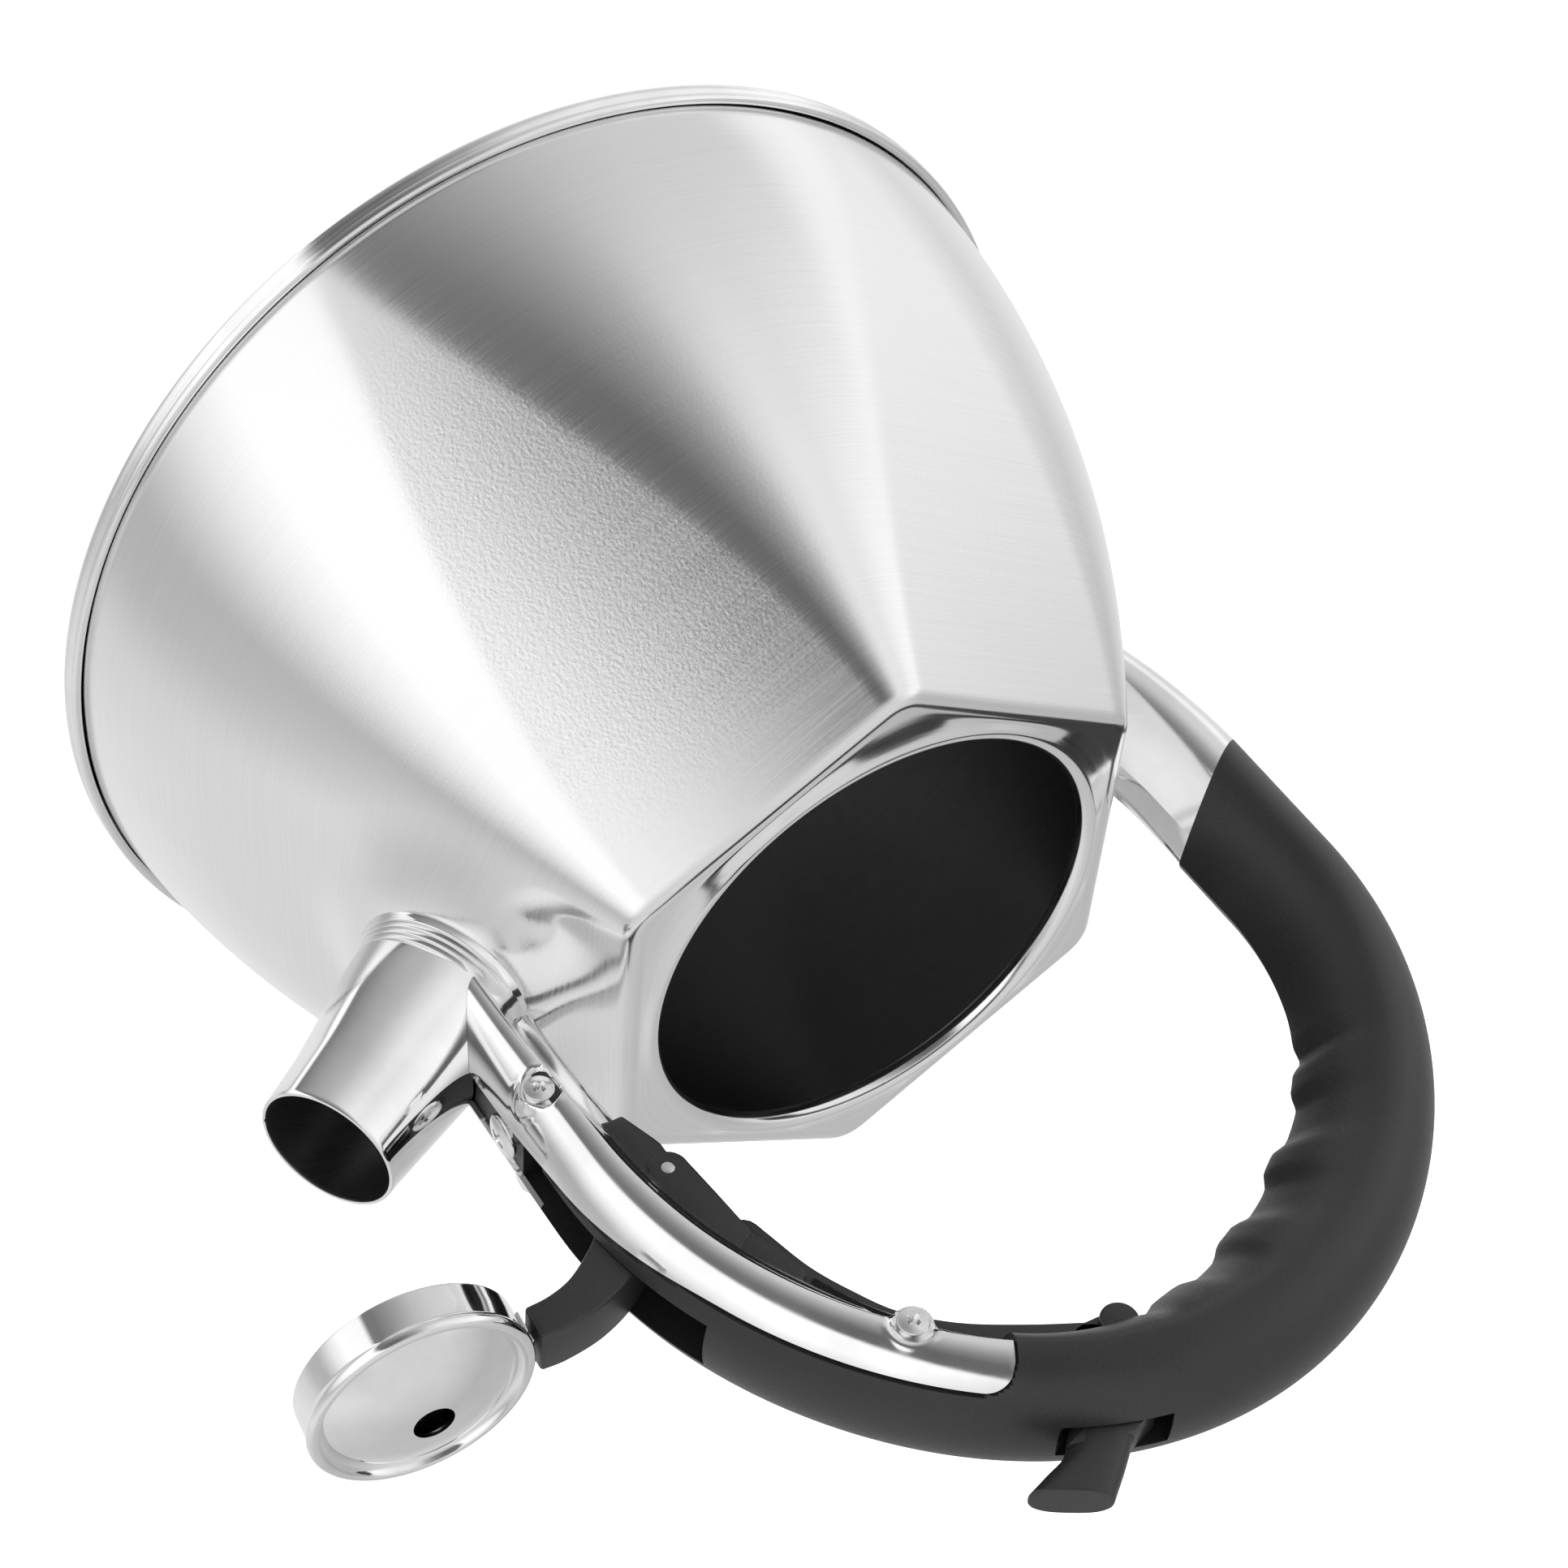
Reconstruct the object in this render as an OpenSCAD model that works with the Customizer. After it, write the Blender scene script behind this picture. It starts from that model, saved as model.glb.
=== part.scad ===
// Stovetop whistling kettle with a fixed arched handle.
// Millimetres, +Z up, base on z = 0 with the body's axis on Z, spout towards +X.
// The handle, the spout and the whistle linkage lie on the plane y = 0.

/* [Body] */
// Radius of the round foot of the body wall
foot_r = 103; // [100:0.5:106]
// How far the middle of a facet comes in between the foot and the shoulder
facet_in = 50; // [46:0.5:52]
// Height of the shoulder, where the wall turns into the top
shoulder_z = 118; // [114:1:122]
// Rounding of the shoulder edge
shoulder_r = 4; // [3:0.5:5]
// Radius of the filling opening, measured to the lip
mouth_r = 45; // [42:0.5:46]
// Sheet thickness of the body
sheet = 0.8; // [0.6:0.1:1]

/* [Base] */
// Outer radius of the seamed ring round the foot
seam_r = 105; // [104:0.5:107]
// Radius of the layered disc under the base
disc_r = 92; // [80:1:95]
// Thickness of the layered disc
disc_h = 3; // [2.5:0.5:3.5]

/* [Spout] */
// Slope of the spout above the horizontal, in degrees
spout_slope = 31; // [30:0.5:32]
// Outer radius of the spout at its mouth
spout_r = 12.8; // [12.4:0.1:13]
// Outer radius that the spout's taper would have at the body
spout_root_r = 16.1; // [15.5:0.1:16.5]
// Length of the spout along its axis
spout_l = 44.5; // [43:0.5:46]

/* [Handle] */
// Height of the middle of the handle arch
arch_z = 145; // [143:0.5:147]
// Radius of the arch at its crown line
arch_r = 82.2; // [81:0.1:83]
// Half the width of the handle section
grip_w = 13.5; // [12.5:0.1:14]
// Thickness of the pressed steel of the bracket and the ferrule
steel = 0.9; // [0.7:0.1:1.1]
// Angle round the arch where the bracket ends, in degrees
bracket_end = 62; // [54:1:64]

/* [Whistle] */
// Radius of the whistle cap
cap_r = 18.8; // [18:0.1:19]
// Radius of the sound hole in the cap
sound_r = 3.5; // [3:0.1:4]
// Radius of the pins of the whistle linkage
pin_r = 1.2; // [1:0.1:1.3]

/* [Hidden] */

turn_step = 5;                 // degrees between the columns of the body's skin
run_gap = 0.05;                // radial clearance of a pin that turns
steel_gap = 0.02;              // clearance where steel lies on nylon

// ---- body wall: a circle at the foot that turns into a rounded hexagon ----
wall_foot_z = disc_h + 1.1;
wall_rows = 15;
wall_power = 1.63;
function facet(z) = foot_r - facet_in * pow(z / shoulder_z, wall_power);
function soften(z) = 1 - 0.85 * pow(z / shoulder_z, 1.5);
function wall_slope(z) = atan(facet_in * wall_power / shoulder_z
    * pow(z / shoulder_z, wall_power - 1));
// Radius at angle t of a hexagon with apothem a, its corners rounded to radius r
function hexagon_r(t, a, r) = let (
        f = abs(((t % 60) + 90) % 60 - 30),
        flat = (a - r) * tan(30),
        corner = (a - r) / cos(30))
    a * tan(f) <= flat ? a / cos(f)
        : corner * cos(30 - f) + sqrt(pow(r, 2) - pow(corner * sin(30 - f), 2));
// A row of the skin: [apothem, corner radius, height, blend to a circle of that apothem]
function skin_ring(row) = [for (t = [0:turn_step:360 - turn_step])
    let (r = (1 - row[3]) * hexagon_r(t, row[0], row[1]) + row[3] * row[0])
    [r * cos(t), r * sin(t), row[2]]];
function wall_row(z, inset) = let (s = wall_slope(z), a = facet(z))
    [a - inset * cos(s), a * soften(z) - inset * cos(s), z - inset * sin(s), 0];
wall_zs = [for (i = [0:wall_rows]) wall_foot_z + (shoulder_z - wall_foot_z) * i / wall_rows];
top_a = facet(shoulder_z);
top_corner = top_a * soften(shoulder_z);
top_slope = wall_slope(shoulder_z);
function shoulder_row(turn, inset) = let (
        r = shoulder_r - inset,
        a = top_a - shoulder_r * cos(top_slope) + r * cos(turn),
        c = top_corner - shoulder_r * cos(top_slope) + r * cos(turn))
    [a, c, shoulder_z - shoulder_r * sin(top_slope) + r * sin(turn), 0];
top_z = shoulder_z + shoulder_r * (1 - sin(top_slope));
lip_r = 2.2;
lip_rise = 1.4;
function lip_row(turn, inset) = let (r = lip_r - inset)
    [mouth_r + lip_r - r * sin(turn), 0, top_z + lip_rise - lip_r + r * cos(turn), 1];
function skin_rows(inset) = concat(
    [for (z = wall_zs) wall_row(z, inset)],
    [for (turn = [top_slope + 15:15:80]) shoulder_row(turn, inset)],
    [[top_a - shoulder_r - 1, top_corner, top_z + 0.5 - inset, 0.35]],
    [for (turn = [0:30:120]) lip_row(turn, inset)]);

// ---- lofted solids: grids of points joined into closed skins ----
// Triangles between rows i and i + 1 of a grid whose first point has number base
function band(i, cols, base, wrap, flip) = [for (j = [0:cols - (wrap ? 1 : 2)]) let (
        a = base + i * cols + j, b = base + i * cols + (j + 1) % cols,
        c = a + cols, d = b + cols)
    each flip ? [[a, b, d], [a, d, c]] : [[a, d, b], [a, c, d]]];
function join(strip_a, strip_b, wrap) = [for (j = [0:len(strip_a) - (wrap ? 1 : 2)]) let (
        k = (j + 1) % len(strip_a))
    each [[strip_a[j], strip_a[k], strip_b[k]], [strip_a[j], strip_b[k], strip_b[j]]]];
function flat_list(rows) = [for (r = rows) each r];

// A solid through closed rings
module loft(rings) {
    cols = len(rings[0]);
    last = (len(rings) - 1) * cols;
    polyhedron(flat_list(rings), concat(
        [for (i = [0:len(rings) - 2]) each band(i, cols, 0, true, false)],
        [[for (j = [0:cols - 1]) j]],
        [[for (j = [cols - 1:-1:0]) last + j]]), 10);
}

// A sheet between an outer and an inner grid of the same size
module sheet_loft(outer, inner, wrap) {
    rows = len(outer);
    cols = len(outer[0]);
    n = rows * cols;
    polyhedron(flat_list(concat(outer, inner)), concat(
        [for (i = [0:rows - 2]) each band(i, cols, 0, wrap, false)],
        [for (i = [0:rows - 2]) each band(i, cols, n, wrap, true)],
        join([for (j = [0:cols - 1]) j], [for (j = [0:cols - 1]) n + j], wrap),
        join([for (j = [0:cols - 1]) 2 * n - cols + j],
            [for (j = [0:cols - 1]) n - cols + j], wrap),
        wrap ? [] : join([for (i = [0:rows - 1]) n + i * cols],
            [for (i = [0:rows - 1]) i * cols], false),
        wrap ? [] : join([for (i = [0:rows - 1]) (i + 1) * cols - 1],
            [for (i = [0:rows - 1]) n + (i + 1) * cols - 1], false)), 10);
}

// ---- handle arch: q is the angle round the arch, and runs on as millimetres down each leg ----
arch_rise = 4.9;
arch_lean = 1.4;
front_leg_x = arch_r - arch_lean;
rear_leg_x = arch_r + arch_lean;
knee_z = 118;
knee_r = 120;
function arch_rad(q) = arch_r + arch_rise * pow(sin(q), 4) - arch_lean * cos(q);
function rear_x(z) = -rear_leg_x - 0.6 * min(1, (arch_z - z) / (arch_z - knee_z))
    + (z < knee_z ? pow(knee_z - z, 2) / (2 * knee_r) : 0);
// A station: [x and z of the crown line, angle of the outward normal]
function station(q) = q < 0 ? [front_leg_x, arch_z + q, 0]
    : q > 180 ? let (z = arch_z - (q - 180))
        [rear_x(z), z, 180 + (z < knee_z ? atan((knee_z - z) / knee_r) : 0)]
    : [arch_rad(q) * cos(q), arch_z + arch_rad(q) * sin(q), q];
function at(q, s, y) = let (p = station(q))
    [p[0] + s * cos(p[2]), y, p[1] + s * sin(p[2])];

// Depth of the section from the crown to the inner edge
ridges = [88.5, 104, 121, 139];        // middles of the ridges between the fingers
ridge_flat = 1.8;
ridge_side = 3.9;
ridge_end = 9;
hollow_deep = 1.5;
function smooth(t) = let (u = min(1, max(0, t))) u * u * (3 - 2 * u);
function finger(q) = let (
        near = min([for (ridge = ridges) abs(q - ridge)]),
        end = min(q - ridges[0], ridges[len(ridges) - 1] - q) + ridge_end)
    hollow_deep * smooth((near - ridge_flat) / ridge_side) * smooth(end / 5);
function depth(q) = lookup(q, [[-50, 15], [-20, 13.5], [-7, 14.5], [15, 19], [35, 20],
    [65, 18.4], [80, 20.5], [88, 23.4], [104, 26.2], [121, 26.6], [139, 24.6], [150, 23.6],
    [240, 25.5]]) - finger(q);
crown_h = 10;
nose_w = 4.2;
nose_h = 3;
function crown(q) = lookup(q, [[-30, 7.5], [10, crown_h]]);

// The section's outline, drawn in by inset, from angle e over one flank, round the inner
// edge and back up the other flank
function flank(q, inset, e) = let (
        c = crown(q), w = grip_w - inset, d = depth(q) - inset,
        nw = nose_w - inset * 0.6, run = d - c - nose_h)
    concat(
        [for (k = [3:-1:1]) [-c + c * sin(e * k / 3), w * cos(e * k / 3)]],
        [for (u = [0:0.2:1]) [-c - run * u, nw + (w - nw) * cos(90 * u)]],
        [for (a = [30:30:60]) [-(d - nose_h) - nose_h * sin(a), nw * cos(a)]]);
function mirror_back(half) = [for (i = [len(half) - 1:-1:0]) [half[i][0], -half[i][1]]];
function u_line(q, inset, e) = let (half = flank(q, inset, e))
    [for (p = concat(half, [[-depth(q) + inset, 0]], mirror_back(half))) at(q, p[0], p[1])];
crown_steps = 8;               // sides of the section over the crown
function egg_ring(q, inset) = let (c = crown(q), w = grip_w - inset, e = steel_edge(q))
    concat(u_line(q, inset, e), [for (k = [1:crown_steps - 1])
        let (a = e + (180 - 2 * e) * k / crown_steps) at(q, -c + c * sin(a), -w * cos(a))]);

// Where the steel of the bracket ends on the flank, as an angle over the crown
function steel_edge(q) = lookup(q, [[-30, 72], [-15, 70], [4, 60], [24, 47]]);

// ---- ends of the handle's pieces ----
grip_tail = [-84.8, 115.5];    // outer corner of the grip's slanting rear end
grip_tail_slope = 33;
bracket_heel = [65.8, 106];    // inner end of the bracket's lower edge
bracket_foot_slope = -22;
web_top = 136;                 // the bracket is closed round its inner edge below this height
nylon_foot_rise = 3;           // the nylon stops this far above the bracket's lower edge
front_q = -46;                 // the front leg's pieces are lofted down to here, then cut
rear_q = 258;

// ---- whistle linkage, all in the plane y = 0, drawn with the whistle open ----
arm_at = [61.5, 150];          // pivot of the whistle arm
crank_r = 4.5;
crank_turn = 20;
crank_at = arm_at + crank_r * [cos(crank_turn), sin(crank_turn)];
trigger_at = [15, 221];        // pivot of the trigger
link_at = [12.8, 211];         // where the trigger takes the link
hub_r = 4.2;
lug_r = 3.6;
guard_from = -8.5;             // the nylon walls beside the link, along the arch
guard_to = 33;
guard_d = 21;                  // their reach in from the crown line
knuckle_r = 3.3;
eye_r = 2.6;
crank_pin_r = 0.9;
crank_play = 0.65;             // the link's front eye is loose by this much
link_pin_r = 1;
// half widths, across the plane of the linkage
arm_w = 5;
slot_w = 5.35;
hub_w = 3;
hub_slot_w = 3.3;
crank_slot_w = 1.4;
blade_w = 1.1;
link_w = 2.8;
link_slot_w = 3.2;
knuckle_w = 4.4;
knuckle_slot_w = 4.8;
link_pin_w = 4;                // the pins of the trigger stop short of the outside
trigger_pin_w = 7;
all_w = 30;                    // wider than any piece of the handle
fork_slot_w = 1.9;
rocker_w = 1.6;
tab_w = 3.5;
tab_slot_w = 3.9;
lug_w = 5.2;

// ---- whistle cap, open: it faces cap_tilt above the horizontal ----
cap_tilt = 85;
cap_at = [116, 166.5];         // middle of the rim bead
cap_skirt = 7.1;               // from the rim bead down to the cap's lower edge
cap_dome = 5.7;                // from the rim bead up to the sound hole
cap_sheet = 0.8;
bead_r = 1.1;
ear_turn = 14;                 // half the angle that the ear's flange covers

spout_foot_z = 92.8;
spout_foot = [facet(spout_foot_z), 0, spout_foot_z];
spout_wall = 0.8;
spout_taper = (spout_root_r - spout_r) / spout_l;
spout_foot_l = 1.5;            // the tube goes this far in through the wall
spout_sink = 4;                // its cones are drawn from this far in, then cut
// a second, steeper cone widens the root: its axis starts lower on the wall and leans up
flare_r = 16.1;
flare_taper = 0.083;
flare_shift = 3;
flare_lean = 4.6;
flare_l = 36;
// the collar: a pressed neck on the wall with steps at its top
collar_shift = 1.5;
neck_foot_r = 24;
neck_r = 17;
neck_l = 5.9;
neck_sink = 1;                 // the neck's foot is this far behind the middle of the wall
collar_steps = 3;
step_in = 0.3;
step_rise = 1.25;

// ---- placing helpers ----
module on_spout() translate(spout_foot) rotate([0, 90 - spout_slope, 0]) children();
module on_cap() translate([cap_at[0], 0, cap_at[1]]) rotate([0, 90 - cap_tilt, 0]) children();
module in_plane(w) rotate([90, 0, 0]) linear_extrude(2 * w, center = true) children();
module cross_pin(p, r, w) translate([p[0], 0, p[1]]) rotate([90, 0, 0])
    cylinder(r = r, h = 2 * w, center = true, $fn = 48);
module spot(p, r) translate(p) circle(r = r, $fn = 48);
module both_sides() for (side = [0, 1]) mirror([0, side, 0]) children();
// A bar of half width r along a line of points, with round ends and corners
module bar(points, r) {
    for (i = [0:len(points) - 1]) spot(points[i], r);
    for (i = [0:len(points) - 2]) let (
            v = points[i + 1] - points[i],
            n = r * [-v[1], v[0]] / norm(v))
        polygon([points[i] + n, points[i] - n, points[i + 1] - n, points[i + 1] + n]);
}
// The part of the plane above a line through p that rises by slope degrees
module above(p, slope) translate(p) rotate(slope) translate([-100, 0]) square([200, 200]);
module below(p, slope) translate(p) rotate(slope) translate([-100, -200]) square([200, 200]);
// A strip of the arch between two distances from the crown line
function arch_point(q, s) = let (p = at(q, s, 0)) [p[0], p[2]];
module strip(q0, q1, out_s, in_s) polygon(concat(
    [for (q = [q0:3:q1]) arch_point(q, out_s)],
    [for (q = [q1:-3:q0]) arch_point(q, in_s)]));
// Everything behind a facet's surface, near the middle of the facet
module facet_block(width) in_plane(width)
    polygon(concat([[0, wall_foot_z]], [for (z = wall_zs) [facet(z), z]], [[0, shoulder_z]]));
// A cone along z whose radius is r at z = 0 and falls by taper for each millimetre
module taper_bar(r, taper, from, to) translate([0, 0, from])
    cylinder(h = to - from, r1 = r - taper * from, r2 = r - taper * to, $fn = 96);
// The spout's outer surface, grown by gap: a long taper and the flare at its root
module spout_core(gap, over = 0) on_spout() {
    taper_bar(spout_root_r + gap, spout_taper, -spout_sink, spout_l + over);
    on_flare() taper_bar(flare_r + gap, flare_taper, -spout_sink, flare_l);
}
module on_flare() translate([flare_shift, 0, 0]) rotate([0, -flare_lean, 0]) children();

// ---- body and base ----
module body_shell() color("silver") difference() {
    sheet_loft([for (row = skin_rows(0)) skin_ring(row)],
        [for (row = skin_rows(sheet)) skin_ring(row)], true);
    spout_core(0);
}

module base_pan() color("gainsboro") rotate_extrude($fn = 180) {
    translate([0, disc_h]) square([seam_r - 1.2, 1]);
    translate([seam_r - 1.4, 2.4]) circle(r = 1.4, $fn = 32);
    translate([seam_r - 1.1, disc_h + 2]) circle(r = 1, $fn = 32);
    translate([foot_r - 0.05, disc_h]) square([1.3, 2.4]);
}

module base_core() color("darkgray") translate([0, 0, 0.6])
    cylinder(r = disc_r - 1, h = disc_h - 0.6, $fn = 180);

module base_cover() color("lightgray") rotate_extrude($fn = 180) {
    square([disc_r, 0.6]);
    translate([disc_r - 1, 0]) square([1, disc_h]);
}

// ---- spout ----
module spout_tube() color("whitesmoke") difference() {
    spout_core(0);
    spout_core(-spout_wall, 1);
    on_spout() translate([0, 0, -spout_foot_l - 2 * spout_sink])
        cylinder(r = neck_foot_r, h = 2 * spout_sink);
}

module spout_collar() color("white") difference() {
    on_spout() translate([collar_shift, 0, 0]) rotate_extrude($fn = 96) polygon(concat(
        [[spout_r, -2 * neck_sink], [neck_foot_r, -2 * neck_sink], [neck_foot_r, -neck_sink],
            [neck_r, neck_l - step_rise]],
        [for (i = [0:collar_steps]) let (r = neck_r - i * step_in, h = neck_l + i * step_rise)
            each [[r, h - step_rise], [r, h]]],
        [[spout_r, neck_l + collar_steps * step_rise]]));
    facet_block(all_w);
    spout_core(0);
}

// ---- rear of the handle ----
function hood_half(q, inset) = let (
        c = crown(q), w = grip_w - inset, run = depth(q) - c - nose_h)
    concat([for (u = [1:-0.2:0]) [-c - run * u, nose_w - inset * 0.6
            + (w - nose_w + inset * 0.6) * cos(90 * u)]],
        [for (a = [15:15:75]) [-c + (c - inset) * sin(a), w * cos(a)]]);
function hood_line(q, inset) = let (half = hood_half(q, inset))
    [for (p = concat(half, [[-inset, 0]], mirror_back(half))) at(q, p[0], p[1])];
rear_qs = [for (q = [190:4:rear_q]) q];

module rear_ferrule() color("whitesmoke") difference() {
    sheet_loft([for (q = rear_qs) hood_line(q, 0)],
        [for (q = rear_qs) hood_line(q, steel)], false);
    in_plane(all_w) above(grip_tail, grip_tail_slope);
    rotate(180) facet_block(all_w);
}

module ferrule_plate() color("gainsboro") difference() {
    in_plane(nose_w - steel) strip(190, rear_q, -20.4, -21.3);
    in_plane(all_w) above(grip_tail, grip_tail_slope);
    rotate(180) facet_block(all_w);
}

module tang_shape() in_plane(2.8) strip(163, 226, -18, -20.4);
module rear_tang() color("gray") difference() {
    tang_shape();
    rotate(180) facet_block(all_w);
}

// ---- fixings ----
screw_low = [75, 130.2];       // bracket screws, one pair on each flank
screw_high = [46.6, 199.9];
seat_low = 12;                 // where the screws' seats lie, from the middle plane
seat_high = 12.8;
seat_r = 4.2;
screw_head_r = 3;
screw_head_h = 1.3;
screw_shank_r = 1.3;
screw_l = 6.5;
cross_w = 0.8;
cross_l = 3;
nose_seat = [79.4, 127.5];     // middle of the face under the channel screw's head
nose_head_r = 4.2;
nose_head_h = 2.2;
nose_shank_r = 1.6;
nose_l = 10;

// A pan head on z = 0 with a cross recess, and its shank below
module pan_screw(head_r, head_h, shank_r, l) {
    difference() {
        intersection() {
            cylinder(r = head_r, h = head_h, $fn = 48);
            translate([0, 0, head_h - 2 * head_r]) sphere(r = 2 * head_r, $fn = 96);
        }
        for (turn = [0, 90]) rotate(turn) translate([-cross_l / 2, -cross_w / 2, head_h / 3])
            cube([cross_l, cross_w, head_h]);
    }
    translate([0, 0, -l]) cylinder(r = shank_r, h = l, $fn = 32);
}
module on_seat(p, w) translate([p[0], -w, p[1]]) rotate([90, 0, 0]) children();
module bracket_screws() color("silver") both_sides() {
    on_seat(screw_low, seat_low) pan_screw(screw_head_r, screw_head_h, screw_shank_r, screw_l);
    on_seat(screw_high, seat_high)
        pan_screw(screw_head_r, screw_head_h, screw_shank_r, screw_l);
}
module on_nose() translate([nose_seat[0], 0, nose_seat[1]]) rotate([0, 90, 0]) children();
module channel_screw() color("silver") on_nose()
    pan_screw(nose_head_r, nose_head_h, nose_shank_r, nose_l);

// ---- nylon grip with its channel for the whistle linkage ----
// Bearing lug for the arm's pin, with a fin that runs up into the grip
module lug_outline() {
    spot(arm_at, lug_r);
    polygon([arm_at + [-lug_r, 0], arm_at + [3, -2], [68, 160], [64, 172], [56, 168]]);
}
// Walls beside the link, between the bracket's flanks, down to the web
guard_qs = [for (i = [0:20]) guard_from + (guard_to - guard_from) * i / 20];
module guard_outline() polygon(concat([for (q = guard_qs) arch_point(q, -13.4)],
    [for (i = [20:-1:0]) arch_point(guard_qs[i],
        -min(guard_d, 19 + (guard_to - guard_qs[i]) / 4))]));
module arm_slot() polygon([[70, 133], [95, 133], [95, 185], [76, 182], [64, 176.5],
    [67, 160], [72, 152]]);
module nose_recess() polygon([[nose_seat[0], 100], [95, 100], [95, 133.1],
    [nose_seat[0], 133.1]]);
module hub_slot() polygon([[50, 141], [76, 136], [76, 171], [50, 171]]);
module link_channel() strip(0, 78, -depth(50) + 7.5, -40);
module trigger_pocket() {
    spot(trigger_at, 5);
    polygon([[11, 200], [22, 200], [20, 222], [10, 222]]);
    polygon([[10.2, 222], [11, 226], [16.4, 229], [16.4, 240], [36.2, 240], [35.8, 224.5],
        [18.6, 215.8], [14, 214]]);
}
module knuckle_pocket() polygon([[8.2, 200], [21.6, 200], [21.6, 215.6], [8.2, 215.6]]);

bracket_qs = [for (i = [0:30]) front_q + (bracket_end - front_q) * i / 30];
grip_qs = concat(bracket_qs, [for (q = [bracket_end + 0.1:3:rear_q - 36]) q]);
module grip_blank() loft([for (q = grip_qs)
    egg_ring(q, q > bracket_end ? 0 : steel + steel_gap)]);
module grip() color("#2b2b2b") difference() {
    union() {
        difference() {
            grip_blank();
            in_plane(slot_w) arm_slot();
            in_plane(link_slot_w) link_channel();
            in_plane(hub_slot_w) hub_slot();
            in_plane(all_w) below(bracket_heel + [0, nylon_foot_rise], bracket_foot_slope);
        }
        difference() {
            in_plane(lug_w) {
                lug_outline();
                guard_outline();
            }
            in_plane(hub_slot_w) {
                lug_outline();
                guard_outline();
            }
        }
    }
    in_plane(slot_w) nose_recess();
    in_plane(tab_slot_w) trigger_pocket();
    in_plane(knuckle_slot_w) knuckle_pocket();
    in_plane(all_w) below(grip_tail, grip_tail_slope);
    spout_core(0.3);
    tang_shape();
    cross_pin(trigger_at, pin_r, trigger_pin_w);
    cross_pin(arm_at, pin_r, all_w);
    both_sides() {
        on_seat(screw_low, seat_low - steel - 0.1) seat_well();
        on_seat(screw_high, seat_high - steel - 0.1) seat_well();
    }
    on_nose() translate([0, 0, -nose_l]) cylinder(r = nose_shank_r, h = nose_l, $fn = 32);
}
// The hollow that a screw seat and its shank need in the nylon
module seat_well() {
    cylinder(r = seat_r + 0.4, h = 10, $fn = 48);
    translate([0, 0, -screw_l]) cylinder(r = screw_shank_r, h = 2 * screw_l, $fn = 32);
}

// ---- pressed steel bracket round the front of the handle ----
module front_bracket() color("whitesmoke") difference() {
    union() {
        difference() {
            sheet_loft([for (q = bracket_qs) u_line(q, 0, steel_edge(q))],
                [for (q = bracket_qs) u_line(q, steel, steel_edge(q))], false);
            both_sides() {
                on_seat(screw_low, seat_low - 3) cylinder(r = seat_r, h = 9, $fn = 48);
                on_seat(screw_high, seat_high - 3) cylinder(r = seat_r, h = 9, $fn = 48);
            }
        }
        both_sides() {
            on_seat(screw_low, seat_low - steel) seat_cup();
            on_seat(screw_high, seat_high - steel) seat_cup();
        }
    }
    in_plane(link_slot_w) strip(web_top - arch_z, bracket_end + 6, -9, -40);
    in_plane(lug_w + 0.05) strip(web_top - arch_z, guard_to + 1, -9, -40);
    in_plane(nose_w + 2) polygon([[50, web_top], [72, web_top], [72, 160], [62, 174], [50, 174]]);
    in_plane(all_w) below(bracket_heel, bracket_foot_slope);
    spout_core(0);
    both_sides() {
        on_seat(screw_low, 0) cylinder(r = screw_shank_r, h = 20, $fn = 32);
        on_seat(screw_high, 0) cylinder(r = screw_shank_r, h = 20, $fn = 32);
    }
}
// The pressed-in seat under a screw head: a floor and a short wall
module seat_cup() difference() {
    cylinder(r = seat_r + 0.3, h = 1.6, $fn = 48);
    translate([0, 0, steel]) cylinder(r = seat_r - 0.6, h = 2, $fn = 48);
}

// ---- trigger: a thumb tab above the handle and a short arm below, on one pin ----
tab_root = [[22.6, 229], [34.4, 226.3]];
tab_end = [[42.4, 230.2], [32.4, 235.6]];
tab_round = 1.2;
module trigger() color("#333333") difference() {
    union() {
        in_plane(tab_w) {
            spot(trigger_at, 4);
            polygon([trigger_at + [-3.2, 2.4], tab_root[0], tab_root[1],
                trigger_at + [2.4, -3.2]]);
            polygon([tab_root[0], tab_end[1] + [-1, 0.7], tab_end[0] + [0.3, -1.2],
                tab_root[1]]);
            bar([tab_end[1], tab_end[0]], tab_round);
        }
        in_plane(rocker_w) {
            spot(link_at, knuckle_r - 0.3);
            polygon([trigger_at + [-3, 0], trigger_at + [3, 0], link_at + [2.6, 0],
                link_at + [-2.6, 0]]);
        }
    }
    cross_pin(trigger_at, pin_r + run_gap, all_w);
    cross_pin(link_at, link_pin_r + run_gap, all_w);
}
module trigger_pin() color("silver") cross_pin(trigger_at, pin_r, trigger_pin_w);
module link_pin() color("silver") cross_pin(link_at, link_pin_r, link_pin_w);

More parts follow.
